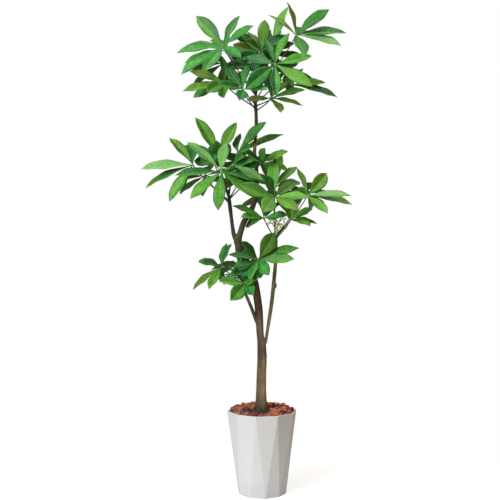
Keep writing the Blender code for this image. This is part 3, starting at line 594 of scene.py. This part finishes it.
# Leaf, named after its shoot: share of the shoot, hub (across, depth, up) in mm, the looks of its leaflets
# as LOOKS names them, and each leaflet as (right, up, back) from hub to tip and the width seen in front.
FRONT_LEAVES = {
    "top_front": (0.5, (48, -110, 1568), "nnlcckk", [
        (51, 119, 50, 30), (136, 33, -10, 33), (139, -80, -30, 44), (5, -114, -50, 40), (-109, -91, -40, 56),
        (-110, 26, 30, 36), (-38, 100, 70, 30)]),
    "top_upper_left": (0.8, (-142, -20, 1635), "ndcccce", [
        (-100, 113, 20, 50), (58, 115, 50, 30), (110, 77, -60, 26), (-173, -22, 10, 30),
        (-157, -102, -20, 32), (-75, -87, -90, 46), (65, -40, -100, 40)]),
    "top_peak": (0.92, (125, 10, 1676), "oddpdod", [
        (-32, 124, 20, 18), (122, 96, -10, 40), (186, 11, 10, 30), (167, -36, -40, 26), (32, -73, -120, 44),
        (-101, 76, 40, 16), (40, 20, 150, 40)]),
    "top_centre": (1.0, (0, -30, 1617), "vodnee", [
        (10, 117, 40, 44), (-59, 77, 90, 22), (-81, 11, 100, 44), (-59, 37, -120, 30), (-16, -50, -130, 40),
        (97, 62, 80, 36)]),
    "top_left": (0.18, (-138, -70, 1499), "novgnbe", [
        (-7, 102, 60, 30), (-128, 47, 20, 33), (-154, -27, -10, 30), (-118, -50, 70, 34),
        (-64, -32, -130, 46), (-3, -53, -130, 34), (70, 10, 90, 30)]),
    "top_lower_left": (0.08, (-70, -105, 1477), "cekkd", [
        (91, 0, -100, 22), (-12, -39, -130, 44), (-63, 84, 60, 36), (18, 92, 70, 34), (-92, 20, -60, 30)]),
    "top_right": (0.24, (110, -10, 1493), "ydnn", [
        (124, 11, 40, 26), (169, -43, 0, 24), (-35, 22, 130, 30), (30, 60, 120, 34)]),
    "top_low": (0.04, (33, -60, 1444), "vyoodo", [
        (126, 33, -20, 22), (120, -27, 50, 18), (35, -50, -120, 26), (60, 60, 90, 30), (-22, 70, 110, 30),
        (-90, -8, 60, 22)]),
    "top_upper_left_rear": (0.7, (-128, 55, 1622), "ocnnd", [
        (-152, 18, 30, 26), (-160, -48, 20, 26), (14, 80, 110, 24), (-60, 40, 130, 30), (50, -60, 110, 34)]),
    "top_inner": (0.6, (-40, 75, 1562), "ddndkk", [
        (-98, 2, 90, 36), (-62, 84, 80, 32), (30, 110, 70, 34), (96, 44, 80, 34), (70, -60, 90, 36),
        (-60, -76, 80, 40)]),
    "top_crest": (0.9, (37, 123, 1626), "lddknd", [
        (58, 156, -60, 33), (-40, 90, 120, 30), (-10, -40, 130, 34), (-40, -50, 60, 36), (30, 70, 120, 30),
        (10, -70, 80, 34)]),
    "left_front": (0.25, (-149, -95, 1174), "ppdbbbdc", [
        (-126, 113, 20, 30), (16, 109, 60, 40), (-171, -10, 10, 28), (-116, -98, -20, 37),
        (-13, -142, -30, 44), (131, -97, -20, 36), (160, -34, -10, 28), (127, 47, 30, 24)]),
    "left_outer": (0.35, (-254, -20, 1199), "pnbvco", [
        (-192, -12, 0, 33), (-177, -83, -10, 24), (-89, -134, -20, 37), (-86, 102, 50, 34),
        (-14, 81, 110, 52), (-44, -110, 60, 20)]),
    "left_rear": (0.8, (-161, 50, 1228), "lygncn", [
        (-83, 148, 10, 44), (67, 130, 20, 40), (-5, 60, -100, 44), (-130, 40, 80, 34), (100, -10, 100, 34),
        (-40, -40, 140, 40)]),
    "left_upper": (1.0, (-89, 22, 1244), "dndd", [
        (104, 115, -80, 33), (170, 71, 60, 28), (4, 71, 110, 30), (48, 20, -110, 30)]),
    "left_inner": (0.5, (-4, -62, 1208), "nyld", [
        (15, 52, -100, 30), (100, 42, -70, 26), (104, -26, 50, 26), (-60, 40, -90, 26)]),
    "right_front": (0.6, (44, -95, 1079), "lelwlly", [
        (-126, 51, -60, 46), (-33, 83, -60, 30), (4, 148, 10, 46), (80, 58, 90, 36), (127, 3, -30, 30),
        (-37, -52, -130, 58), (89, -46, -90, 36)]),
    "right_outer": (0.3, (167, -20, 1087), "pypwlyl", [
        (-39, 104, 40, 22), (71, 84, 60, 50), (163, 1, 0, 26), (168, -32, 40, 26), (75, -65, -80, 32),
        (-50, 20, 120, 34), (20, -46, 120, 36)]),
    "right_rear": (0.95, (46, 60, 1118), "wwbbbl", [
        (83, 77, 40, 30), (96, 20, 100, 30), (-92, 40, 80, 36), (-50, 98, 60, 36), (-10, -30, 150, 44),
        (26, 124, 30, 36)]),
    "right_low_left": (0.14, (7, -62, 1004), "bbddn", [
        (-84, 5, -90, 20), (-116, 47, -20, 22), (-25, 77, 70, 22), (87, 11, -90, 28), (-70, -30, 90, 30)]),
    "right_low": (0.2, (106, -30, 999), "ybybb", [
        (98, -14, 60, 20), (72, -22, -100, 18), (-25, 44, -120, 22), (16, 39, 120, 34), (80, 40, 70, 26)]),
    "low_right": (0.9, (-13, -105, 850), "dobbcck", [
        (-64, 69, -80, 30), (59, 102, 30, 58), (150, 47, 20, 33), (132, 5, -40, 37), (-31, -73, -90, 30),
        (38, -55, -100, 44), (-111, 21, 20, 22)]),
    "low_left": (0.65, (-149, -45, 825), "dkkoydn", [
        (19, 90, 50, 22), (37, 85, -50, 18), (-68, 18, -100, 24), (-107, -83, 0, 22), (-46, -81, -70, 32),
        (-84, 26, 90, 30), (-10, -50, 110, 34)]),
    "low_front": (0.3, (-61, -90, 766), "lbcn", [
        (-98, 8, -50, 32), (-54, -63, -90, 52), (28, -44, -100, 42), (50, 20, -90, 30)]),
}
# Leaf between: a small leaf that fills a crown between the ones above, set out as they are.
INNER_LEAVES = {
    "top_between": (0.85, (-8, 10, 1606), "odedke", [
        (-100, 36, 0, 36), (-75, 88, 30, 26), (-88, -18, -30, 40), (40, 92, 30, 30), (75, 30, 40, 34),
        (-20, -70, -40, 34)]),
    "left_between": (0.7, (-106, -100, 1199), "qedkd", [
        (113, -57, -6, 32), (100, 4, 60, 36), (52, 52, 70, 26), (62, -78, 40, 40), (-24, -64, 60, 30)]),
    "left_behind": (0.75, (-175, 20, 1205), "cedn", [
        (-60, 60, 20, 44), (0, 75, 10, 50), (-75, 10, 20, 40), (60, 70, 30, 50)]),
    "low_between": (0.75, (-26, -78, 840), "kekeddc", [
        (-80, -16, 10, 40), (-52, -50, 0, 36), (24, -56, 10, 38), (52, -24, 10, 36), (-40, 50, 30, 26),
        (-92, -46, 30, 40), (-42, -78, 30, 42)]),
}
# Leaf behind: share of the shoot, hub in mm, the way it faces, leaflets, length, first angle.
BACK_LEAVES = {
    "top_back_left": (0.3, (-143, 118, 1600), (-0.29, 0.36, 0.91), 7, 150, 351),
    "top_back": (0.75, (25, 186, 1653), (0.05, 0.46, 0.86), 7, 156, 56),
    "top_back_right": (0.4, (91, 147, 1573), (0.16, 0.22, 0.9), 7, 146, 21),
    "left_back": (0.55, (-72, 158, 1190), (0.05, 0.42, 0.88), 7, 152, 25),
    "left_back_outer": (0.15, (-215, 135, 1172), (-0.24, 0.24, 0.82), 6, 142, 336),
    "right_back": (0.5, (47, 140, 1099), (0.07, 0.42, 0.95), 7, 150, 2),
    "right_back_outer": (0.36, (171, 161, 1111), (0.14, 0.36, 0.9), 6, 138, 350),
    "low_back": (0.5, (-91, 97, 838), (-0.11, 0.21, 0.95), 6, 112, 356),
}
BACK_LOOKS = "nbodnlbdn"
# Look of a leaflet: how bright, how olive, how browned at the tip, how much painted sheen, how blue-green.
# How bright is partly own tone, partly painted light and shade: shaded leaflets painted lighter, some lit
# ones darker.
LOOKS = {
    "d": (0.16, 0.05, 0.0, 0.0, 0.35),
    "k": (0.0, 0.0, 0.0, 0.0, 0.5),
    "e": (0.16, 0.0, 0.05, 0.0, 0.9),
    "g": (0.62, 0.0, 0.1, 0.2, 0.6),
    "v": (0.60, 0.4, 0.3, 0.0, 0.0),
    "q": (0.40, 0.25, 0.0, 0.6, 0.2),
    "n": (0.36, 0.12, 0.2, 0.04, 0.15),
    "c": (0.36, 0.0, 0.1, 0.05, 0.8),
    "b": (0.60, 0.10, 0.15, 0.12, 0.05),
    "l": (0.85, 0.12, 0.2, 0.3, 0.0),
    "w": (1.00, 0.20, 0.2, 0.5, 0.0),
    "p": (0.62, 0.0, 0.15, 0.8, 0.1),
    "o": (0.40, 0.7, 0.45, 0.0, 0.0),
    "y": (0.85, 0.45, 0.5, 0.1, 0.0),
}
LOOK_SPREAD = 0.09
# Painted light and shade: the most by which one half of a leaflet is painted lighter and the other darker.
PAINTED_HALF_LIGHT_SPREAD = 0.42
SICKLE_SPREAD = 0.02
TWIST_SPREAD = 0.14
LOOK_SEED = 5
LEAF_GREENS = [
    (0.0, (0.028, 0.158, 0.022)), (0.3, (0.042, 0.232, 0.022)),
    (0.65, (0.072, 0.345, 0.014)), (1.0, (0.160, 0.520, 0.024)),
]
OLIVE_GREEN = (0.120, 0.165, 0.012)
TIP_BROWN = (0.250, 0.140, 0.045)
RIB_PALE = (0.270, 0.480, 0.130)
PAINTED_SHEEN_GREEN = (0.235, 0.510, 0.160)
BLUE_SHARE = (0.45, 0.95, 2.2)
UNDER_GREEN = (0.080, 0.200, 0.045)

leaf_finish, tree, shader, place = new_finish("leaf_satin_green", 0.4)
along, over, face = split(attribute("leaf_place", "Vector"))
bright, olive, browned = split(attribute("leaf_look", "Vector"))
painted_sheen, cool, lean = split(attribute("leaf_tint_and_painted_light", "Vector"))
out = over.size()
blotch = ((noise(place, 19, 3) - 0.5) * 2.2 + 0.5).clamped()
speck = noise(place, 240, 3)
half = (over * 6.0).clamped() - 0.5
flow = ((noise(place, 55, 3) - 0.5) * 2.4 + 0.5).clamped()
# Painted shade: each leaflet is painted darker towards its foot at the hub.
foot = (1 - along * 3.5).clamped()
margin = ((out - 0.6) * 2.5).clamped()
# Painted light and shade: one half of each leaflet is painted lighter and the other darker, as a fold lit
# from one side.
tone = bright + (blotch - 0.5) * 0.42 + (flow - 0.5) * 0.60 + half * lean * 1.5 - foot * 0.22 - margin * 0.24
colour = ramp(tone.clamped(), LEAF_GREENS)
colour = mixed((cool * (0.3 + noise(place, 24, 2) * 1.2)).clamped(), colour, BLUE_SHARE, "MULTIPLY")
# Painted highlights: pale patches of painted sheen, and a painted glint along the lighter half of each
# leaflet.
painted_gloss_patches = ((noise(place, 26, 2) - 0.56) * 6.0).clamped()
painted_glint = ((half * lean - 0.05) * 7.0).clamped() * (1 - margin)
beat = ((along * 10.0 + 0.5).then("FRACT") - 0.5).size()
veins = (1 - beat * 6.0).clamped() * (1 - out * out)
rib = (1 - out / (0.10 - along * 0.06)).clamped().then("POWER", 0.6)
burnt = ((along + out * 0.06 + (blotch - 0.5) * 0.35 - 0.86) * 7.0).clamped() * browned
under = (face * -4.0).clamped()
for share, tint in (
    ((olive * (0.35 + blotch * 1.1)).clamped(), OLIVE_GREEN),
    ((painted_sheen * (0.2 + noise(place, 30, 2) * 1.3) + painted_gloss_patches * 0.10 + painted_glint * 0.15).clamped(), PAINTED_SHEEN_GREEN),
    (veins * (0.26 + painted_sheen * 0.5), RIB_PALE),
    (rib * (0.75 - along * 0.35), RIB_PALE),
    (((out - 0.93) * 14.0).clamped() * 0.35, OLIVE_GREEN),
    (burnt, TIP_BROWN),
    (under * 0.65, UNDER_GREEN),
):
    colour = mixed(share, colour, tint)
feed(shader, {
    "Base Color": shaded(1.0, colour, (0.86 + speck * 0.28).clamped()),
    "Roughness": (0.34 + blotch * 0.16 + under * 0.25 + burnt * 0.3).clamped(),
    "Normal": relief(speck * 0.4 - veins * 1.0 - rib * 0.8, 0.35 * MM),
    "Specular IOR Level": 0.2,
    "Subsurface Weight": 0.45,
    "Subsurface Radius": (0.35, 1.0, 0.12),
    "Subsurface Scale": 1.4 * MM,
})

BLADE_OUTLINE = [
    (0.0, 0.0), (0.03, 0.085), (0.12, 0.19), (0.29, 0.585), (0.43, 0.88), (0.56, 1.0), (0.69, 0.95),
    (0.81, 0.74), (0.91, 0.40), (0.97, 0.13), (1.0, 0.0),
]
DROOP_FROM = 0.72
BELLY = 0.16
TWIST_MIDDLE = 0.35
tree, given, way_out = start_tree("palmate leaves", {
    "Rows along": 31, "Points round": 24, "Fold": 0.34, "Arch": 0.03, "Blade thickness": 0.8 * MM,
    "Rib depth": 0.9 * MM, "Vein pairs": 10.0, "Vein slant": 0.75, "Vein depth": 0.22 * MM,
    "Wave height": 1.5 * MM, "Waves": 2.6, "Tip droop": 0.3, "Finish": leaf_finish,
})
blank = made_by("GeometryNodeMeshGrid", {
    "Size X": 1.0, "Size Y": 1.0, "Vertices X": given["Rows along"],
    "Vertices Y": Quantity(given["Points round"]) + 1.0,
})
centred = vector_sum("ADD", made_by("GeometryNodeInputPosition"), (0.5, 0.5, 0.0))
blank = stored(blank, "leaf_place", centred)
blades = made_by("GeometryNodeInstanceOnPoints", {"Points": given["Geometry"], "Instance": blank})
blades = made_by("GeometryNodeRealizeInstances", {"Geometry": blades})
leaf_place, rib_way, upward, sway, root, stalk_way = (
    recalled(name, "FLOAT_VECTOR") for name in ("leaf_place", "rib", "upward", "sway", "root", "stalk_way")
)
row, turn, _ = split(leaf_place)
phase, sickle, twist = split(sway)
width = recalled("width")
length = Quantity(vector_sum("LENGTH", rib_way))
sideways = vector_sum("NORMALIZE", vector_sum("CROSS_PRODUCT", upward, rib_way))
even = 1 - (turn * 4.0 - 2.0).size()
over = even * (even.size() * 0.35 + 0.65)
out = over.size()
face = (turn * (2 * math.pi)).then("SINE")


def outline_at(share):
    """A leaflet's width at this share of its length, from 0 to 1."""
    made = add_node("ShaderNodeFloatCurve", {"Value": share})
    points = made.mapping.curves[0].points
    while len(points) < len(BLADE_OUTLINE):
        points.new(0.5, 0.5)
    for point, place_on_curve in zip(points, BLADE_OUTLINE):
        point.location = place_on_curve
    made.mapping.update()
    return Quantity(made.outputs[0])


slant = out.then("POWER", 1.3) * outline_at(row) * width * 0.5 / length * given["Vein slant"]
reached = (row + slant).then("MINIMUM", 1.0)
fullness = outline_at(reached)
half = fullness * width * 0.5
bow = reached * (1 - reached) * 4.0
lateral = over * half + sickle * length * bow
drooped = (reached - DROOP_FROM).then("MAXIMUM", 0.0)
crease = (over * over + 0.004).then("SQRT") - 0.5
ripple = (row * given["Waves"] * (2 * math.pi) + phase + even * 1.3).then("SINE")
pressed = (row * given["Vein pairs"] * (2 * math.pi)).then("COSINE") * (1 - out * out) * given["Vein depth"]
upper = (face * 2.6).then("MINIMUM", 1.0).then("MAXIMUM", -1.0)
rib_under = (1 - out * 6.0).clamped() * (1 - reached) * (face * -1.0).clamped() * given["Rib depth"]
stout = 1 + (1 - reached * 9.0).clamped() * 1.8
raised = (
    Quantity(given["Arch"]) * length * bow
    + Quantity(given["Fold"]) * half * crease
    + half * out * (1 - out) * BELLY
    + Quantity(given["Wave height"]) * ripple * out * out * fullness
    + twist * over * half * (reached - TWIST_MIDDLE)
    - Quantity(given["Tip droop"]) * length * drooped * drooped
    - pressed
    + upper * stout * given["Blade thickness"] * 0.5
    - rib_under
)
shaped = root
for way, reach in ((rib_way, reached), (sideways, lateral), (upward, raised)):
    shaped = vector_sum("ADD", shaped, vector_sum("SCALE", way, reach))
blades = placed(blades, Position=shaped)
blades = stored(blades, "leaf_place", combined(row, over, face))
blades = made_by("GeometryNodeMergeByDistance", {"Geometry": blades, "Distance": 0.001 * MM})
ball = made_by("GeometryNodeMeshUVSphere", {"Segments": 12, "Rings": 8})
hub_size = recalled("hub_size")
hubs = made_by("GeometryNodeInstanceOnPoints", {
    "Points": given["Geometry"],
    "Selection": hub_size,
    "Instance": ball,
    "Rotation": made_by("FunctionNodeAlignRotationToVector", {"Vector": stalk_way}, axis="Z"),
    "Scale": vector_sum("SCALE", (1, 1, 0.85), hub_size),
})
leaf_tree = end_tree(smoothed(joined(blades, hubs)))


def on_shoot(stations, share):
    """The point on a shoot's centre line at this share of its length."""
    points = [Vector(s[:3]) * MM for s in stations]
    spans = [(b - a).length for a, b in zip(points, points[1:])]
    left = share * sum(spans) * LAST_STALK
    for a, b, span in zip(points, points[1:], spans):
        if left <= span:
            return a.lerp(b, left / span)
        left -= span
    return points[-1]


def from_elevation(across, depth, up):
    """The point at this depth that lines up with (across, up) on the front elevation, in mm."""
    flat = Vector((across, 0, up)) * MM
    return VIEWPOINT + (flat - VIEWPOINT) * (1 + depth * MM / -VIEWPOINT.y)


def stalk_line(start, hub, facing):
    """Ends and bend of a leaf stalk, and the direction in which it meets the leaf."""
    chord = hub - start
    arrive = (chord.normalized() + facing * STALK_TURN).normalized()
    end = hub - arrive * HUB_BELOW
    return start, end - arrive * chord.length * STALK_BEND, end, arrive


def true_width(length, seen):
    return max(seen, min(WIDEST_BLADE, max(NARROWEST_BLADE, WIDTH_SHARE * length)))


def rolled_normal(hub, tip, seen):
    """The normal of a blade rolled about its rib until this width shows from the front."""
    rib = (tip - hub).normalized()
    sight = (VIEWPOINT - hub).normalized()
    level = (sight - rib * sight.dot(rib)).normalized()
    across = rib.cross(level)
    share = max(LEAST_SEEN, seen / true_width((tip - hub).length, seen))
    if across.z < 0:
        across = -across
    return level * share + across * math.sqrt(1 - share * share)


def front_tips(hub, base, looks, leaflets):
    """For each leaflet its look and what it would be at each shift: (tip, normal, width)."""
    for look, (right, up, back, seen) in zip(looks, leaflets):
        seen = seen * MM
        tips = [from_elevation(base[0] + right, base[1] + back + shift, base[2] + up) for shift in SHIFTS]
        yield look, [
            (tip, rolled_normal(hub, tip, seen), true_width((tip - hub).length, seen)) for tip in tips
        ]


def back_tips(hub, facing, count, length, first):
    """The same for a leaf behind, whose leaflets fan evenly round the way it faces."""
    level = Vector((1, 0, 0))
    level = (level - facing * level.dot(facing)).normalized()
    other = facing.cross(level)
    for k in range(count):
        turn = math.radians(first + 360 * k / count + BACK_TURN_SPREAD * math.sin(5 * k + first))
        reach = length * (1 - BACK_LENGTH_SPREAD * math.cos(3 * k + first))
        way = level * math.cos(turn) + other * math.sin(turn)
        tips = [hub + (way * reach - facing * (BACK_DROOP * reach + shift)) * MM for shift in SHIFTS]
        yield BACK_LOOKS[(k + first) % len(BACK_LOOKS)], [(tip, facing, BACK_WIDTH) for tip in tips]


def leaf_mesh(name, leaflets):
    """One point for each leaflet, with what the leaf tree needs to know of it."""
    mesh = new_mesh(name, [leaflet["root"] for leaflet in leaflets])
    for key in leaflets[0]:
        values = [leaflet[key] for leaflet in leaflets]
        if isinstance(values[0], float):
            mesh.attributes.new(key, "FLOAT", "POINT").data.foreach_set("value", values)
        else:
            numbers = [number for value in values for number in value]
            mesh.attributes.new(key, "FLOAT_VECTOR", "POINT").data.foreach_set("vector", numbers)
    return mesh


def spread(rng, reach):
    return rng.uniform(-reach, reach)


def leaflet_facts(root, tip, normal, width, look, arrive, hub_size, rng):
    """What the leaf tree needs to know of one leaflet."""
    rib = tip - root
    way = rib.normalized()
    bright, olive, browned, painted_sheen, cool = LOOKS[look]
    return {
        "root": root,
        "rib": rib,
        "upward": (normal - way * normal.dot(way)).normalized(),
        "width": width,
        "sway": (rng.uniform(0, 2 * math.pi), spread(rng, SICKLE_SPREAD), spread(rng, TWIST_SPREAD)),
        "leaf_look": (bright + spread(rng, LOOK_SPREAD), olive, browned),
        "leaf_tint_and_painted_light": (painted_sheen, cool, spread(rng, PAINTED_HALF_LIGHT_SPREAD)),
        "hub_size": hub_size,
        "stalk_way": arrive,
    }


def make_leaf(name, points, sizes):
    """A leaf piece without the working values that only its tree needed."""
    leaf = grown(name, points, leaf_tree, sizes)
    for key in ("root", "rib", "upward", "sway", "width", "hub_size", "stalk_way"):
        leaf.data.attributes.remove(leaf.data.attributes[key])
    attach(leaf, "root")
    return leaf


stalks = {shoot: [] for shoot in SHOOTS}
rng = random.Random(LOOK_SEED)
plan = [(key, share, from_elevation(*base), FRONT_FACING, (base, looks, leaflets))
        for key, (share, base, looks, leaflets) in {**FRONT_LEAVES, **INNER_LEAVES}.items()]
plan += [(key, share, Vector(at) * MM, Vector(facing).normalized(), fan)
         for key, (share, at, facing, *fan) in BACK_LEAVES.items()]
for key, share, hub, facing, rest in plan:
    name = "leaf_" + key
    shoot = key.split("_")[0]
    start, bend, end, arrive = stalk_line(on_shoot(SHOOTS[shoot], share), hub, facing)
    stalks[shoot].append((start, bend, end))
    options = back_tips(hub, facing, *rest) if key in BACK_LEAVES else front_tips(hub, *rest)
    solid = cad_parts.get(name)
    corners = solid.data.vertices if solid else []
    nearest = KDTree(len(corners))
    for corner in corners:
        nearest.insert(corner.co, corner.index)
    nearest.balance()
    leaflets = []
    for look, choices in options:
        gaps = [nearest.find(tip)[2] if solid else 0.0 for tip, _, _ in choices]
        best = min(range(len(gaps)), key=gaps.__getitem__)
        if gaps[best] < TIP_MATCH:
            size = 0.0 if leaflets else HUB_SIZE
            leaflets.append(leaflet_facts(hub, *choices[best], look, arrive, size, rng))
    leaf = make_leaf("foliage_" + key, leaf_mesh(name + "_points", leaflets), {})
    if solid:
        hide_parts(name)

# Shoots: the soft green end of each branch, ringed where old leaves have dropped, with a closed bud, and
# the wiry leaf stalks that leave it. Each stalk swells a little where it joins the shoot and the leaf.
SHOOT_RING = 7.5
RING_SWELL = 0.09
STALK_STEPS = 14
STALK_ROOT_RADIUS = 2.35
STALK_TIP_RADIUS = 1.8
STALK_SWELL = 1.1
BUD_LENGTH = 13
BUD_OUTLINE = [(0.0, 1.0), (0.3, 0.95), (0.6, 0.7), (0.85, 0.35), (1.0, 0.08)]
SHOOT_BROWN = (0.060, 0.048, 0.022)
STALK_GREEN = (0.085, 0.115, 0.030)
STALK_OLIVE = (0.055, 0.060, 0.020)

stalk_finish, tree, shader, place = new_finish("stalk_brown_green", 0.5)
flow = noise(place, 55, 3)
grain = noise(place, 500, 3, (1, 1, 0.3))
colour = mixed(((flow - 0.35) * 2.2).clamped(), STALK_GREEN, STALK_OLIVE)
colour = mixed(past(attribute("girth"), 2.4 * MM, 1.6 * MM), colour, SHOOT_BROWN)
feed(shader, {
    "Base Color": shaded(1.0, colour, (0.65 + grain * 0.6).clamped()),
    "Roughness": 0.42 + grain * 0.25,
    "Normal": relief(grain, 0.4 * MM),
})


def shoot_line(stations):
    """A shoot's line with its rings and its bud, as (x, y, z, radius) in mm."""
    line = []
    for start, end in zip(stations, stations[1:]):
        count = max(2, round((end[2] - start[2]) / (SHOOT_RING / 2)))
        for k in range(count):
            x, y, z, radius = (a + (b - a) * (k / count) for a, b in zip(start, end))
            line.append((x, y, z, radius * (1 + RING_SWELL * (len(line) % 2))))
    x, y, z, radius = stations[-1]
    return line + [(x, y, z + BUD_LENGTH * share, radius * thin) for share, thin in BUD_OUTLINE]


def bent(start, bend, end, t):
    """The point at the share t of a line that leaves its start towards the bend and bends to its end."""
    return start.lerp(bend, t).lerp(bend.lerp(end, t), t)


def stalk_points(start, bend, end):
    """A leaf stalk's line as (x, y, z, radius) in mm, swollen at both ends."""
    line = []
    for k in range(STALK_STEPS + 1):
        t = k / STALK_STEPS
        radius = STALK_ROOT_RADIUS + (STALK_TIP_RADIUS - STALK_ROOT_RADIUS) * t
        swell = STALK_SWELL * (max(0, 1 - t * 9) + max(0, 1 - (1 - t) * 12))
        line.append((*(bent(start, bend, end, t) / MM), radius + swell))
    return line


for key, stations in SHOOTS.items():
    name = "shoot_" + key
    lines = [shoot_line(stations)] + [stalk_points(*stalk) for stalk in stalks[key]]
    shoot = grown(
        "stalks_" + key, strands(name + "_lines", lines), stem_tree,
        {"Point spacing": 3 * MM, "Sides": 12, "Finish": stalk_finish},
    )
    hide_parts(name)
    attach(shoot, "root")

# Young sprouts: thin stalks with small folded leaflets, just opening at two branch ends. The right one
# is pale yellow-green all over; the low one has greened, so it takes the finishes of the grown leaves.
SPROUT_LEAFLETS = 5
SPROUT_WIDTH = 0.38
SPROUT_DROOP = 0.3
SPROUT_LIFT = 0.4
SPROUT_RADIUS = 1.9
SPROUT_TAPER = (1.25, 0.4)
SPROUT_HUB = 1.4 * MM
SPROUT_BEND = (0.25, 0.25, 0.8)
SPROUT_YELLOW = (0.70, 0.84, 0.36)
SPROUT_GREEN = (0.46, 0.60, 0.18)

sprout_finish, tree, shader, place = new_finish("sprout_yellow_green", 0.5)
feed(shader, {
    "Base Color": mixed(noise(place, 120, 3), SPROUT_YELLOW, SPROUT_GREEN),
    "Normal": relief(noise(place, 900, 2), 0.2 * MM),
})

# Sprout: foot in mm, finish of stalks and of leaflets, look, and for each stalk its rise (across, depth,
# up) in mm and its leaflets' length.
SPROUTS = {
    "sprout_right": ((52, -18, 942), sprout_finish, sprout_finish, "l", [
        ((-22, -14, 46), 20), ((-9, -24, 54), 19), ((7, -27, 42), 20), ((18, -22, 60), 22),
        ((28, -16, 34), 19)]),
    "sprout_low": ((-78, -34, 788), stalk_finish, leaf_finish, "d", [
        ((-58, -18, 12), 32), ((-50, -32, 0), 30), ((-26, -34, 20), 30), ((6, -28, 26), 26)]),
}
for name, (foot, stem_finish, finish, look, stems) in SPROUTS.items():
    foot = Vector(foot) * MM
    lines, leaflets = [], []
    for rise, length in stems:
        hub = foot + Vector(rise) * MM
        bend = foot + Vector([part * share for part, share in zip(rise, SPROUT_BEND)]) * MM
        lines.append([
            (*(bent(foot, bend, hub, t) / MM), SPROUT_RADIUS * (SPROUT_TAPER[0] - SPROUT_TAPER[1] * t))
            for t in (0, 0.2, 0.4, 0.6, 0.8, 1)
        ])
        arrive = (hub - bend).normalized()
        level = arrive.cross(Vector((0, 0, 1))).normalized()
        other = arrive.cross(level)
        for k in range(SPROUT_LEAFLETS):
            turn = 2 * math.pi * (k + rng.random() * 0.5) / SPROUT_LEAFLETS
            way = level * math.cos(turn) + other * math.sin(turn)
            tip = hub + (way + arrive * SPROUT_LIFT - Vector((0, 0, SPROUT_DROOP))).normalized() * length * MM
            size = 0.0 if k else SPROUT_HUB
            width = SPROUT_WIDTH * length * MM
            leaflets.append(leaflet_facts(hub, tip, arrive + way * 0.2, width, look, arrive, size, rng))
    stems_piece = grown(
        name + "_stalks", strands(name + "_lines", lines), stem_tree,
        {"Point spacing": 3 * MM, "Sides": 8, "Finish": stem_finish},
    )
    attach(stems_piece, "root")
    make_leaf(name + "_leaflets", leaf_mesh(name + "_points", leaflets), {
        "Rows along": 10, "Points round": 8, "Fold": 0.5, "Blade thickness": 0.5 * MM, "Rib depth": 0.2 * MM,
        "Vein depth": 0.0, "Wave height": 0.3 * MM, "Finish": finish,
    })

# Studio: a plain pale floor under a white surround, a large soft light from the front left, a broad one
# overhead, a weak fill on the right and one behind the tree. The camera stands at the photograph's place,
# level with the tree's middle.
FLOOR_REACH = 1.1
FLOOR_FADE = 0.75
FLOOR_SIDES = 96
FLOOR_GLOW = 0.62
FLOOR_GREY = (0.60, 0.60, 0.60)
FLOOR_PALE = (0.64, 0.64, 0.63)
SURROUND_TINT = (1.0, 0.83, 0.64)
SURROUND_GLOW = 0.24
CAMERA_LENS = 58.86

rim = [2 * math.pi * k / FLOOR_SIDES for k in range(FLOOR_SIDES)]
corners = [(FLOOR_REACH * math.cos(turn), FLOOR_REACH * math.sin(turn), 0) for turn in rim]
floor = add_object("floor", new_mesh("floor", corners, faces=[range(FLOOR_SIDES)]))
floor_finish, tree, shader, place = new_finish("floor_pale", 0.9)
x, y, _ = split(place)
feed(shader, {
    "Base Color": mixed(noise(place, 3, 2), FLOOR_GREY, FLOOR_PALE),
    "Specular IOR Level": 0.0,
    "Emission Color": (1, 1, 1),
    "Emission Strength": Quantity(made_by("ShaderNodeLightPath")) * FLOOR_GLOW,
    "Alpha": ((FLOOR_REACH - distance(x, y)) / FLOOR_FADE).clamped(),
})
dress(floor.data, floor_finish)

studio = bpy.data.worlds.new("studio")
bpy.context.scene.world = studio
studio.use_nodes = True
tree = studio.node_tree
tree.nodes.clear()
seen = made_by("ShaderNodeBackground", {"Color": (1, 1, 1)})
cast = made_by("ShaderNodeBackground", {"Color": SURROUND_TINT, "Strength": SURROUND_GLOW})
surround = made_by("ShaderNodeMixShader", {0: made_by("ShaderNodeLightPath"), 1: cast, 2: seen})
add_node("ShaderNodeOutputWorld", {0: surround})

# Light: name, place, what it faces, side in metres, power in watts, colour.
LIGHTS = [
    ("key", (-2.7, -3.1, 2.5), (0, 0, 0.9), 1.9, 165, (0.92, 0.97, 1.04)),
    ("overhead", (0.2, -0.8, 6.0), (0, 0, 1.2), 3.6, 170, (1.0, 1.0, 1.0)),
    ("fill", (2.8, -2.2, 1.2), (0, 0, 0.9), 1.8, 3.0, (1.0, 0.74, 0.52)),
    ("behind", (0.6, 4.0, 2.0), (0, 0, 1.0), 3.0, 40, (1.0, 1.0, 1.0)),
]
for name, at, towards, side, power, colour in LIGHTS:
    light = bpy.data.lights.new(name, "AREA")
    light.shape = "SQUARE"
    light.size = side
    light.energy = power
    light.color = colour
    lamp = add_object(name, light)
    lamp.location = at
    lamp.rotation_euler = (Vector(towards) - Vector(at)).to_track_quat("-Z", "Y").to_euler()

bpy.context.scene.view_settings.view_transform = "Standard"
camera_data = bpy.data.cameras.new("camera")
camera_data.lens = CAMERA_LENS
camera = add_object("camera", camera_data)
camera.location = VIEWPOINT
camera.rotation_euler = (math.pi / 2, 0, 0)
bpy.context.scene.camera = camera
